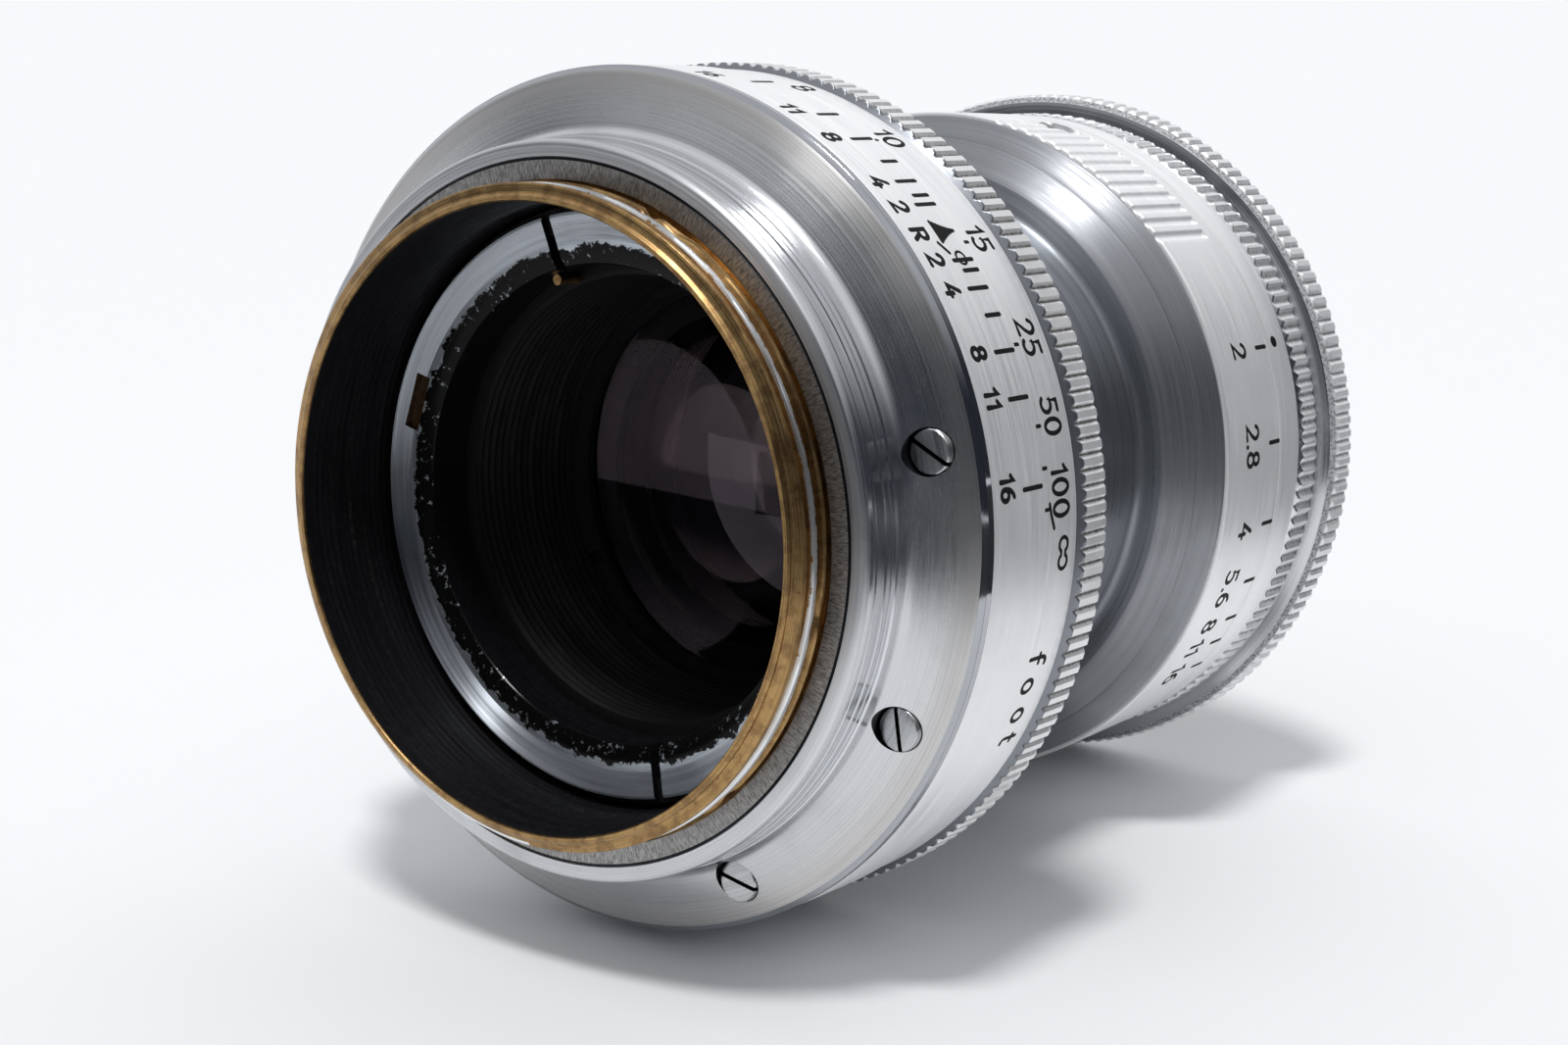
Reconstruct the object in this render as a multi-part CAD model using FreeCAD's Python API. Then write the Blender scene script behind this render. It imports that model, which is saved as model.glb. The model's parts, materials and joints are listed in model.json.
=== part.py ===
"""Prime camera lens with a threaded rear mount, built as its separate pieces.

Frame: the optical axis is Y, the front of the lens faces -Y and the mount faces +Y.
The origin is on the axis, in the plane of the flange seat. Outlines are (s, r) pairs,
where s is the distance in front of the seat and r the radius, in millimetres.
Angles run from +Z towards -X, which is clockwise seen from behind the lens.
"""
import FreeCAD, Part
import math
import os

Vector = FreeCAD.Vector
FRONT = Vector(0, -1, 0)

# Mount: M39 thread with 26 threads to the inch
THREAD_R = 19.5
THREAD_PITCH = 25.4 / 26
THREAD_DEPTH = 0.55
COLLAR_REAR = -2.9
COLLAR_BORE_R = 18.34
COLLAR_FLANGE_R = 20.4
COLLAR_FLANGE_REAR = 0.5
SEAT_BORE_R = 19.6

# Flange and fixed scale ring
BOSS_R = 21.9
BODY_R = 26.1
FLANGE_FRONT = 6.15
SCALE_RING_FRONT = 11.6
SCALE_RING_BORE_R = 24.3
SCREW_ANGLES = (75, 114.5, 153.5, 235, 275)
SCREW_SLOT_ANGLES = (116, 170, 101, 40, -25)
SCREW_CIRCLE_R = 23.5
SCREW_HEAD_R = 1.3
SCREW_TOP = 4.45

# Helicoid pair
HELICOID_LEAD = 5.8
HELICOID_R = 20.3
HELICOID_TUBE_R = 22.0
HELICOID_FRONT = 17.5
RUNNING_GAP = 0.05

# Focus ring; at rest it stands this far from its infinity stop
FOCUS_SCALE_R = 25.9
FOCUS_KNURL_R = 26.3
FOCUS_REAR = 11.65
FOCUS_KNURL_REAR = 15.4
FOCUS_FRONT = 18.3
FOCUS_TEETH = 180
FOCUS_TO_INFINITY = 37.1
FOCUS_TO_NEAREST = 129.6

# Barrel and head
NECK_R = 18.0
NECK_BORE_R = 16.6
NECK_REAR = 4.4
FLARE_REAR = 36.8
HEAD_R = 20.6
APERTURE_REAR = 39.75
APERTURE_FRONT = 48.3
APERTURE_R = 23.15
APERTURE_FRONT_R = 22.95
APERTURE_TURN = 59.5
INDEX_FRONT = 50.9
INDEX_R = 22.85
GRIP_REAR = 51.0
GRIP_FRONT = 53.6
GRIP_R = 22.95
GRIP_TEETH = 150
FRONT_KNURL_REAR = 53.7
LENS_FRONT = 56.4
FRONT_KNURL_R = 24.3
FRONT_TEETH = 160
FILTER_R = 20.0
FILTER_REAR = 54.05
BEZEL_SEAT_R = 19.2
FRONT_CELL_R = 18.75

# Iris
BLADE_COUNT = 10
BLADE_THICKNESS = 0.06
BLADE_STEP = 0.11
BLADE_REAR = 33.3
BLADE_INNER_R = 11.2
BLADE_OUTER_R = 14.1
BLADE_SWEEP = 118.0
PIVOT_R = 15.0
PIVOT_PIN_R = 0.35
IRIS_STOP_R = 7.4
DRIVE_SCREW_S = 45.7
DRIVE_SCREW_ANGLE = 13.4
DRIVE_SCREW_R = 0.8


def at(s, r, angle=0.0):
    """The point at distance s in front of the seat, radius r, and an angle in degrees."""
    turn = math.radians(angle)
    return Vector(-r * math.sin(turn), -s, r * math.cos(turn))


def turned(outline):
    """A solid of revolution. A point is (s, r), or (s, r, s, r) for an arc's middle and end."""
    edges = []
    here = at(*outline[0][-2:])
    for step in outline[1:] + outline[:1]:
        there = at(*step[-2:])
        if len(step) == 4:
            edges.append(Part.Arc(here, at(*step[:2]), there).toShape())
        else:
            edges.append(Part.LineSegment(here, there).toShape())
        here = there
    return Part.Face(Part.Wire(edges)).revolve(Vector(), FRONT, 360)


def tube(s_from, s_to, r_in, r_out):
    """A plain ring between two planes."""
    return turned([(s_from, r_in), (s_from, r_out), (s_to, r_out), (s_to, r_in)])


def sector(s_from, s_to, r_in, r_out, start, sweep):
    """A part of a ring, from one angle through a sweep in degrees."""
    corners = [(s_from, r_in), (s_from, r_out), (s_to, r_out), (s_to, r_in), (s_from, r_in)]
    face = Part.Face(Part.makePolygon([at(s, r, start) for s, r in corners]))
    return face.revolve(Vector(), FRONT, sweep)


def axial_rod(s_from, s_to, r, angle, radius):
    """A cylinder parallel to the optical axis."""
    return Part.makeCylinder(radius, s_to - s_from, at(s_from, r, angle), FRONT)


def radial_rod(s, r_from, r_to, angle, radius):
    """A cylinder pointing away from the optical axis."""
    return Part.makeCylinder(radius, r_to - r_from, at(s, r_from, angle), at(0, 1, angle))


def slot_cutter(centre, normal, along, width, length, depth):
    """A box that cuts a screwdriver slot downwards from a point on a head."""
    side = normal.cross(along)
    start = centre - along * (length / 2) - side * (width / 2)
    across = start + side * width
    corners = [start, across, across + along * length, start + along * length, start]
    return Part.Face(Part.makePolygon(corners)).extrude(normal * -depth)


def toothed_prism(s_from, s_to, root_r, crest_r, teeth, crest_share):
    """A prism with axial teeth: flat crests with round flutes between them."""
    pitch = 360.0 / teeth
    half_crest = pitch * crest_share / 2
    edges = []
    for tooth in range(teeth):
        middle = tooth * pitch
        crest_start = at(s_from, crest_r, middle - half_crest)
        crest_end = at(s_from, crest_r, middle + half_crest)
        flute = at(s_from, root_r, middle + pitch / 2)
        next_crest = at(s_from, crest_r, middle + pitch - half_crest)
        edges.append(Part.LineSegment(crest_start, crest_end).toShape())
        edges.append(Part.Arc(crest_end, flute, next_crest).toShape())
    return Part.Face(Part.Wire(edges)).extrude(FRONT * (s_to - s_from))


def fused(shapes):
    """One solid from touching shapes, with the seams between them removed."""
    return shapes[0].multiFuse(shapes[1:]).removeSplitter()


def thread_crests(s_from, crests, pitch, crest_r, root_r):
    """Outline points of annular thread crests that stand for a thread."""
    points = []
    for turn in range(crests):
        start = s_from + turn * pitch
        points += [(start, crest_r), (start + 0.36 * pitch, crest_r)]
        points += [(start + 0.62 * pitch, root_r), (start + 0.74 * pitch, root_r)]
    return points


def ridges(s_from, s_to, count, r_from, r_to, depth):
    """Outline points of the fine anti-reflection ridges inside a tube, front to rear."""
    points = []
    for ridge in range(count):
        share = ridge / count
        s = s_to + (s_from - s_to) * share
        r = r_to + (r_from - r_to) * share
        step = (s_to - s_from) / count
        points += [(s, r), (s - step / 2, r + depth)]
    return points + [(s_from, r_from)]


# ---------------------------------------------------------------- fixed mount

def mount_collar():
    """Brass collar with the mount thread outside and fine ridges inside."""
    end_r = 18.82
    undercut_r = 18.85
    first_crest = COLLAR_REAR + 0.28
    outside = thread_crests(first_crest, 3, THREAD_PITCH, THREAD_R, THREAD_R - THREAD_DEPTH)[:-2]
    inside = ridges(COLLAR_REAR + 0.5, 5.6, 14, COLLAR_BORE_R, COLLAR_BORE_R, 0.12)
    outline = [(COLLAR_REAR, COLLAR_BORE_R), (COLLAR_REAR, end_r)] + outside
    outline += [(-0.12, undercut_r), (COLLAR_FLANGE_REAR, undercut_r)]
    outline += [(COLLAR_FLANGE_REAR, COLLAR_FLANGE_R), (5.6, COLLAR_FLANGE_R)]
    return turned(outline + inside)


def mount_flange():
    """Plated flange: rough seat, polished boss with turned lines, and a dished brushed face."""
    blank = turned([
        (0.0, SEAT_BORE_R), (0.0, 20.72), (0.12, 20.8), (0.0, 20.88), (0.0, 21.5),
        (0.1, 21.8, 0.35, BOSS_R), (1.75, BOSS_R), (1.85, 21.78), (1.95, BOSS_R),
        (2.75, 21.98), (2.82, 21.88), (2.9, 22.0), (3.5, 22.05), (3.95, 22.18, 4.05, 22.6),
        (5.35, 25.85), (5.55, 25.98), (FLANGE_FRONT, BODY_R), (FLANGE_FRONT, COLLAR_FLANGE_R),
        (COLLAR_FLANGE_REAR, COLLAR_FLANGE_R), (COLLAR_FLANGE_REAR, SEAT_BORE_R)])
    holes = []
    for angle in SCREW_ANGLES:
        holes.append(axial_rod(3.5, 5.6, SCREW_CIRCLE_R, angle, SCREW_HEAD_R + 0.06))
        holes.append(axial_rod(5.5, FLANGE_FRONT + 0.1, SCREW_CIRCLE_R, angle, 0.8))
    return blank.cut(Part.makeCompound(holes))


def flange_screws():
    """Slotted cheese-head screws that hold the flange to the fixed helicoid."""
    screws = []
    for angle, slot_angle in zip(SCREW_ANGLES, SCREW_SLOT_ANGLES):
        head = axial_rod(SCREW_TOP, 5.6, SCREW_CIRCLE_R, angle, SCREW_HEAD_R)
        head = head.makeFillet(0.12, [head.Edges[edge] for edge in rim_edges(head, SCREW_TOP)])
        shank = axial_rod(5.6, 7.4, SCREW_CIRCLE_R, angle, 0.8)
        along = at(0, 1, slot_angle)
        slot = slot_cutter(at(SCREW_TOP, SCREW_CIRCLE_R, angle), -FRONT, along, 0.32, 4, 0.55)
        screws.append(fused([head, shank]).cut(slot))
    return Part.makeCompound(screws)


def rim_edges(shape, s):
    """The numbers of a shape's round edges in the plane at distance s."""
    found = []
    for number, edge in enumerate(shape.Edges):
        box = edge.BoundBox
        if box.YLength < 1e-6 and abs(box.YMin + s) < 1e-6:
            found.append(number)
    return found


def depth_scale_ring():
    """Fixed satin band that carries the depth-of-field scale."""
    bevel = 0.12
    return turned([
        (FLANGE_FRONT, SCALE_RING_BORE_R), (FLANGE_FRONT, BODY_R),
        (SCALE_RING_FRONT - bevel, BODY_R), (SCALE_RING_FRONT, BODY_R - bevel),
        (SCALE_RING_FRONT, SCALE_RING_BORE_R)])


def outer_helicoid():
    """Fixed brass helicoid: a flange for the screws and a tube threaded inside."""
    base_front = 7.6
    pitch = HELICOID_LEAD / 4
    inside = []
    for turn in range(6):
        start = HELICOID_FRONT - 0.8 - turn * pitch
        inside += [(start, HELICOID_R), (start - 0.2, HELICOID_R + 0.5)]
        inside += [(start - 0.7, HELICOID_R + 0.5), (start - 0.9, HELICOID_R)]
    outline = [(FLANGE_FRONT, HELICOID_R), (FLANGE_FRONT, 24.2), (base_front, 24.2)]
    outline += [(base_front, HELICOID_TUBE_R), (HELICOID_FRONT, HELICOID_TUBE_R)]
    outline += [(HELICOID_FRONT, HELICOID_R)] + inside
    holes = [axial_rod(6.1, 7.4, SCREW_CIRCLE_R, angle, 0.8) for angle in SCREW_ANGLES]
    holes.append(axial_rod(6.9, base_front + 0.1, 23.1, 355, 0.5))
    return turned(outline).cut(Part.makeCompound(holes))


def focus_stop_pin():
    """Pin in the fixed helicoid that ends the focus ring's turn at both limits."""
    return axial_rod(6.9, 8.9, 23.1, 355, 0.5)


def focus_retaining_ring():
    """Ring on the fixed helicoid's nose that keeps the focus ring from coming off."""
    ring = tube(16.6, HELICOID_FRONT, HELICOID_TUBE_R, 23.4)
    for angle in (100, 280):
        ring = ring.cut(radial_rod(HELICOID_FRONT, 21.5, 24, angle, 0.45))
    return ring


# ----------------------------------------------------------------- focus ring

def focus_ring():
    """Focus ring: a scale band, a bevelled knurl, and a skirt that runs on the helicoid."""
    bore_r = HELICOID_TUBE_R + RUNNING_GAP
    band = turned([
        (7.65, bore_r), (7.65, 24.0), (FOCUS_REAR, 24.0), (FOCUS_REAR, FOCUS_SCALE_R - 0.1),
        (FOCUS_REAR + 0.1, FOCUS_SCALE_R), (FOCUS_KNURL_REAR, FOCUS_SCALE_R),
        (FOCUS_KNURL_REAR, bore_r)])
    grip = turned([
        (FOCUS_KNURL_REAR, bore_r), (FOCUS_KNURL_REAR, FOCUS_SCALE_R - 0.1),
        (FOCUS_KNURL_REAR + 0.45, FOCUS_KNURL_R), (FOCUS_FRONT - 0.25, FOCUS_KNURL_R),
        (FOCUS_FRONT, FOCUS_KNURL_R - 0.3), (FOCUS_FRONT, 24.95), (17.65, 24.95),
        (17.65, 23.5), (16.55, 23.5), (16.55, bore_r)])
    teeth = toothed_prism(FOCUS_KNURL_REAR, FOCUS_FRONT, FOCUS_KNURL_R - 0.3,
                          FOCUS_KNURL_R, FOCUS_TEETH, 0.22)
    ring = fused([band, grip.common(teeth)])
    groove_start = 355 - FOCUS_TO_NEAREST - 1.6
    groove_sweep = FOCUS_TO_INFINITY + FOCUS_TO_NEAREST + 3.2
    groove = sector(7.6, 9.1, 22.5, 23.7, groove_start, groove_sweep)
    holes = [axial_rod(15.6, 17.7, 24.2, angle, 0.35) for angle in (30, 120, 210, 300)]
    return ring.cut(Part.makeCompound([groove] + holes))


def drive_ring():
    """Ring in the focus ring's nose with two tongues that turn the barrel."""
    plate = tube(17.7, 18.25, NECK_R + 0.06, 24.9)
    tongues = [
        sector(17.7, 18.25, 17.3, NECK_R + 0.2, start - 4.8, 9.6) for start in (0, 180)]
    plate = fused([plate] + tongues)
    seats = []
    for angle in (30, 120, 210, 300):
        seats.append(axial_rod(17.6, 18.3, 24.2, angle, 0.36))
        seats.append(axial_rod(17.98, 18.3, 24.2, angle, 0.62))
    return plate.cut(Part.makeCompound(seats))


def drive_ring_screws():
    """Small screws that hold the drive ring in the focus ring."""
    screws = []
    for angle in (30, 120, 210, 300):
        head = axial_rod(17.98, 18.24, 24.2, angle, 0.6)
        shank = axial_rod(15.6, 17.98, 24.2, angle, 0.35)
        slot = slot_cutter(at(18.24, 24.2, angle), FRONT, at(0, 1, angle), 0.18, 2, 0.14)
        screws.append(fused([head, shank]).cut(slot))
    return Part.makeCompound(screws)


# ------------------------------------------------------------ barrel and head

def lens_barrel():
    """Plated barrel: a long neck, a flared shoulder, and the seat of the aperture ring."""
    blank = turned([
        (NECK_REAR, NECK_BORE_R), (NECK_REAR, NECK_R), (FLARE_REAR - 0.6, NECK_R),
        (FLARE_REAR - 0.18, NECK_R + 0.18, FLARE_REAR, NECK_R + 0.6),
        (FLARE_REAR, 19.7), (37.0, 20.0), (38.3, 21.5), (38.36, 21.56), (39.5, 22.85),
        (APERTURE_REAR - 0.05, 22.9), (APERTURE_REAR - 0.05, HEAD_R), (INDEX_FRONT, HEAD_R),
        (INDEX_FRONT, FRONT_CELL_R + 0.05), (47.3, FRONT_CELL_R + 0.05), (47.3, NECK_BORE_R)])
    cutters = [sector(15.2, 19.2, 17.2, 19, start - 5, 10) for start in (0, 180)]
    start = DRIVE_SCREW_ANGLE - APERTURE_TURN - 3.2
    cutters.append(sector(DRIVE_SCREW_S - 0.85, DRIVE_SCREW_S + 0.85, 16, 21,
                          start, APERTURE_TURN + 6.4))
    return blank.cut(Part.makeCompound(cutters))


def inner_helicoid():
    """Brass sleeve on the barrel, threaded outside, that screws in and out of the mount."""
    crest_r = HELICOID_R - RUNNING_GAP
    pitch = HELICOID_LEAD / 4
    outside = []
    for turn in range(5):
        start = 7.5 + turn * pitch
        outside += [(start, crest_r), (start + 0.2, crest_r - 0.5)]
        outside += [(start + 0.7, crest_r - 0.5), (start + 0.9, crest_r)]
    outline = [(6.95, NECK_R), (6.95, crest_r)] + outside + [(15.1, crest_r), (15.1, NECK_R)]
    return turned(outline)


def rear_lock_ring():
    """Steel ring with spanner slots that closes the barrel's rear end."""
    ring = turned([
        (3.9, 15.1), (3.9, 17.55), (4.05, 17.7), (NECK_REAR, 17.7), (NECK_REAR, NECK_BORE_R),
        (7.5, NECK_BORE_R), (7.5, 14.5), (4.5, 14.5)])
    for angle in (-16, 164):
        ring = ring.cut(slot_cutter(at(3.9, 16.2, angle), -FRONT, at(0, 1, angle), 0.7, 6, 1.5))
    return ring


def lock_ring_pin():
    """Brass pin that keeps the lock ring from unscrewing."""
    return axial_rod(5.6, 7.5, 14.15, -22, 0.33)


def rear_baffle():
    """Black tube with fine ridges between the lock ring and the rear glass."""
    inside = ridges(7.55, 16.1, 15, 13.7, 13.15, 0.28)
    outline = [(7.55, NECK_BORE_R), (16.1, NECK_BORE_R)] + inside
    tube_blank = turned(outline)
    return tube_blank.cut(axial_rod(7.5, 7.6, 14.15, -22, 0.33))


def index_ring():
    """Narrow ring in front of the aperture ring that carries the aperture index dot."""
    return turned([
        (APERTURE_FRONT + 0.05, HEAD_R), (APERTURE_FRONT + 0.05, INDEX_R - 0.1),
        (APERTURE_FRONT + 0.15, INDEX_R), (INDEX_FRONT - 0.2, INDEX_R),
        (INDEX_FRONT, INDEX_R - 0.3), (INDEX_FRONT, HEAD_R)])


def grip_ring():
    """Fine-toothed ring screwed behind the front ring."""
    blank = turned([
        (GRIP_REAR, 21.0), (GRIP_REAR, GRIP_R - 0.45), (GRIP_REAR + 0.4, GRIP_R),
        (GRIP_FRONT - 0.15, GRIP_R), (GRIP_FRONT, GRIP_R - 0.2), (GRIP_FRONT, 21.0)])
    teeth = toothed_prism(GRIP_REAR, GRIP_FRONT, GRIP_R - 0.24, GRIP_R, GRIP_TEETH, 0.22)
    return blank.common(teeth)


def front_ring():
    """Coarse-toothed front ring with the filter thread inside and a spigot behind."""
    spigot = turned([
        (INDEX_FRONT + 0.05, FRONT_CELL_R + 0.05), (INDEX_FRONT + 0.05, 21.0),
        (FRONT_KNURL_REAR, 21.0), (FRONT_KNURL_REAR, BEZEL_SEAT_R), (53.4, BEZEL_SEAT_R),
        (53.4, FRONT_CELL_R + 0.05)])
    grip = turned([
        (FRONT_KNURL_REAR, BEZEL_SEAT_R), (FRONT_KNURL_REAR, FRONT_KNURL_R - 0.55),
        (FRONT_KNURL_REAR + 0.5, FRONT_KNURL_R), (LENS_FRONT - 0.4, FRONT_KNURL_R),
        (LENS_FRONT, FRONT_KNURL_R - 0.5), (LENS_FRONT, 22.0),
        (LENS_FRONT - 0.35, FILTER_R), (FILTER_REAR, FILTER_R), (FILTER_REAR, BEZEL_SEAT_R)])
    teeth = toothed_prism(FRONT_KNURL_REAR, LENS_FRONT, FRONT_KNURL_R - 0.26,
                          FRONT_KNURL_R, FRONT_TEETH, 0.22)
    return fused([spigot, grip.common(teeth)])


def front_bezel():
    """Black blank ring that frames the front glass."""
    return turned([
        (52.05, 14.6), (52.05, FRONT_CELL_R), (53.45, FRONT_CELL_R), (53.45, BEZEL_SEAT_R - 0.05),
        (54.0, BEZEL_SEAT_R - 0.05), (54.0, 18.9), (52.4, 14.6)])


# --------------------------------------------------------------------- optics

def sag(curve, r):
    """How far a spherical face falls behind its vertex at radius r; curve > 0 is convex forward."""
    depth = abs(curve) - math.sqrt(curve ** 2 - r ** 2)
    return math.copysign(depth, curve)


def glass(rear, rear_curve, front, front_curve, edge_r, rear_clear_r=None, front_clear_r=None):
    """A lens element from its vertices, its radii of curvature and its edge radius."""
    rear_r = rear_clear_r or edge_r
    front_r = front_clear_r or edge_r
    rear_edge = rear - sag(rear_curve, rear_r)
    front_edge = front - sag(front_curve, front_r)
    outline = [(rear, 0)]
    outline.append((rear - sag(rear_curve, rear_r / 2), rear_r / 2, rear_edge, rear_r))
    if rear_clear_r:
        outline.append((rear_edge, edge_r))
    outline.append((front_edge, edge_r))
    if front_clear_r:
        outline.append((front_edge, front_r))
    outline.append((front - sag(front_curve, front_r / 2), front_r / 2, front, 0))
    return turned(outline)


def front_cell():
    """Housing of the front glasses, screwed into the head."""
    return turned([
        (35.8, 11.4), (35.8, 15.65), (47.25, 15.65), (47.35, 15.65), (47.35, FRONT_CELL_R),
        (52.0, FRONT_CELL_R), (52.0, 14.25), (44.95, 14.25), (44.95, 12.25), (36.45, 12.25),
        (36.45, 11.4)])


def rear_cell():
    """Housing of the rear glasses, screwed into the neck."""
    return turned([
        (16.2, 13.1), (16.2, 16.55), (32.5, 16.55), (32.5, 10.65), (24.4, 10.65), (23.8, 9.95),
        (23.0, 9.95), (22.0, 10.65), (19.3, 10.65), (19.3, 13.1)])


def front_retaining_ring():
    """Threaded ring that holds the front element."""
    return turned([(47.0, 14.25), (47.6, 13.0), (48.7, 13.0), (49.4, 14.25)])


def front_doublet_ring():
    """Threaded ring that holds the front doublet."""
    return turned([(41.25, 12.25), (42.3, 10.8), (43.2, 10.8), (43.2, 12.25)])


def rear_doublet_ring():
    """Threaded ring that holds the rear doublet."""
    return tube(30.45, 31.4, 8.6, 10.65)


def rear_retaining_ring():
    """Threaded ring that holds the rear element."""
    ring = turned([(16.2, 12.7), (16.2, 13.1), (17.6, 13.1), (17.45, 12.3), (16.9, 12.3)])
    for angle in (60, 240):
        ring = ring.cut(slot_cutter(at(16.2, 12.7, angle), -FRONT, at(0, 1, angle), 0.8, 3, 0.5))
    return ring


# ----------------------------------------------------------------------- iris

def iris_housing():
    """Cup with the pivot holes of the blades; its floor is the stop at full aperture."""
    cup = turned([
        (32.6, IRIS_STOP_R), (32.6, 16.5), (34.75, 16.5), (34.75, 16.0), (33.2, 16.0),
        (33.2, IRIS_STOP_R)])
    holes = []
    for blade in range(BLADE_COUNT):
        holes.append(axial_rod(32.5, 33.3, PIVOT_R, blade_angle(blade), PIVOT_PIN_R + 0.03))
    return cup.cut(Part.makeCompound(holes))


def blade_angle(blade):
    """The angle of a blade's pivot."""
    return blade * 360.0 / BLADE_COUNT


def iris_blade(blade):
    """A thin curved blade with its pivot pin; each blade lies on its own level."""
    rear = BLADE_REAR + blade * BLADE_STEP
    front = rear + BLADE_THICKNESS
    pivot = blade_angle(blade)
    tip_angle = pivot + 2.5 - BLADE_SWEEP
    leaf = sector(rear, front, BLADE_INNER_R, BLADE_OUTER_R, tip_angle, BLADE_SWEEP)
    middle_r = (BLADE_INNER_R + BLADE_OUTER_R) / 2
    half_width = (BLADE_OUTER_R - BLADE_INNER_R) / 2
    tip = axial_rod(rear, front, middle_r, tip_angle, half_width)
    lobe = axial_rod(rear, front, PIVOT_R, pivot, 0.85)
    web = sector(rear, front, BLADE_OUTER_R - 0.6, PIVOT_R - 0.1, pivot - 3.0, 5.5)
    pin = axial_rod(32.7, front, PIVOT_R, pivot, PIVOT_PIN_R)
    return fused([leaf, tip, lobe, web, pin])


def iris_drive_ring():
    """Slotted ring and sleeve that turn the blades when the aperture ring turns."""
    ring = turned([
        (34.85, 12.8), (34.85, 16.5), (46.8, 16.5), (46.8, 15.75), (35.65, 15.75),
        (35.65, 12.8)])
    cutters = []
    for blade in range(BLADE_COUNT):
        angle = blade_angle(blade) + 14
        cutters.append(sector(34.8, 35.7, 13.3, 15.4, angle - 1.6, 3.2))
    cutters.append(radial_rod(DRIVE_SCREW_S, 15, 17, DRIVE_SCREW_ANGLE, DRIVE_SCREW_R))
    return ring.cut(Part.makeCompound(cutters))


# -------------------------------------------------------------- aperture ring

def aperture_ring():
    """Aperture ring: a satin scale band with two patches of grip grooves."""
    bore_r = HEAD_R + RUNNING_GAP
    blank = turned([
        (APERTURE_REAR, bore_r), (APERTURE_REAR, APERTURE_R - 0.15),
        (APERTURE_REAR + 0.15, APERTURE_R), (APERTURE_FRONT - 0.75, APERTURE_FRONT_R),
        (APERTURE_FRONT - 0.68, APERTURE_FRONT_R - 0.07),
        (APERTURE_FRONT - 0.6, APERTURE_FRONT_R), (APERTURE_FRONT - 0.1, APERTURE_FRONT_R),
        (APERTURE_FRONT, APERTURE_FRONT_R - 0.1), (APERTURE_FRONT, bore_r)])
    groove_r = 0.42
    cutters = []
    for patch_start in (11.0, 191.0):
        for groove in range(13):
            angle = patch_start + groove * 3.0
            cutters.append(axial_rod(APERTURE_REAR - 1, 46.6, APERTURE_R + 0.1, angle, groove_r))
    cutters.append(radial_rod(DRIVE_SCREW_S, 20, 22, DRIVE_SCREW_ANGLE, DRIVE_SCREW_R))
    cutters.append(radial_rod(DRIVE_SCREW_S, 21.8, 24, DRIVE_SCREW_ANGLE, 1.25))
    return blank.cut(Part.makeCompound(cutters))


def iris_drive_screw():
    """Screw that links the aperture ring to the iris drive ring through the barrel's slot."""
    head = radial_rod(DRIVE_SCREW_S, 21.8, 22.6, DRIVE_SCREW_ANGLE, 1.2)
    shank = radial_rod(DRIVE_SCREW_S, 15.8, 21.8, DRIVE_SCREW_ANGLE, DRIVE_SCREW_R)
    top = at(DRIVE_SCREW_S, 22.6, DRIVE_SCREW_ANGLE)
    slot = slot_cutter(top, at(0, 1, DRIVE_SCREW_ANGLE), FRONT, 0.35, 4, 0.4)
    return fused([head, shank]).cut(slot)


def pieces():
    """Every node's name with its shape."""
    made = {
        "mount_collar": mount_collar(),
        "mount_flange": mount_flange(),
        "flange_screws": flange_screws(),
        "depth_scale_ring": depth_scale_ring(),
        "outer_helicoid": outer_helicoid(),
        "focus_stop_pin": focus_stop_pin(),
        "focus_retaining_ring": focus_retaining_ring(),
        "focus_ring": focus_ring(),
        "drive_ring": drive_ring(),
        "drive_ring_screws": drive_ring_screws(),
        "lens_barrel": lens_barrel(),
        "inner_helicoid": inner_helicoid(),
        "rear_lock_ring": rear_lock_ring(),
        "lock_ring_pin": lock_ring_pin(),
        "rear_baffle": rear_baffle(),
        "index_ring": index_ring(),
        "grip_ring": grip_ring(),
        "front_ring": front_ring(),
        "front_bezel": front_bezel(),
        "front_cell": front_cell(),
        "rear_cell": rear_cell(),
        "front_retaining_ring": front_retaining_ring(),
        "front_doublet_ring": front_doublet_ring(),
        "rear_doublet_ring": rear_doublet_ring(),
        "rear_retaining_ring": rear_retaining_ring(),
        "front_element": glass(46.1, 90.0, 50.3, 31.0, 14.2),
        "front_doublet_crown": glass(40.6, 70.0, 45.4, 19.5, 12.2),
        "front_doublet_flint": glass(39.2, 15.0, 40.6, 70.0, 12.2, rear_clear_r=8.6),
        "rear_doublet_flint": glass(26.0, 90.0, 27.6, -13.5, 10.6, front_clear_r=8.2),
        "rear_doublet_crown": glass(21.0, -18.0, 26.0, 90.0, 10.6),
        "rear_element": glass(16.0, -45.0, 20.2, 60.0, 13.0),
        "iris_housing": iris_housing(),
        "iris_drive_ring": iris_drive_ring(),
        "aperture_ring": aperture_ring(),
        "iris_drive_screw": iris_drive_screw(),
    }
    for blade in range(BLADE_COUNT):
        made["iris_blade_%02d" % (blade + 1)] = iris_blade(blade)
    return made


def main():
    os.makedirs("parts", exist_ok=True)
    for name, shape in pieces().items():
        if not shape.isValid():
            raise ValueError(name + " is not a valid shape")
        print("%-24s solids %2d  volume %9.2f mm3" % (name, len(shape.Solids), shape.Volume))
        shape.exportStep("parts/%s.step" % name)


main()
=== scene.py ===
import json
import math

import bmesh
import bpy
import numpy as np
from mathutils import Matrix, Vector


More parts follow.
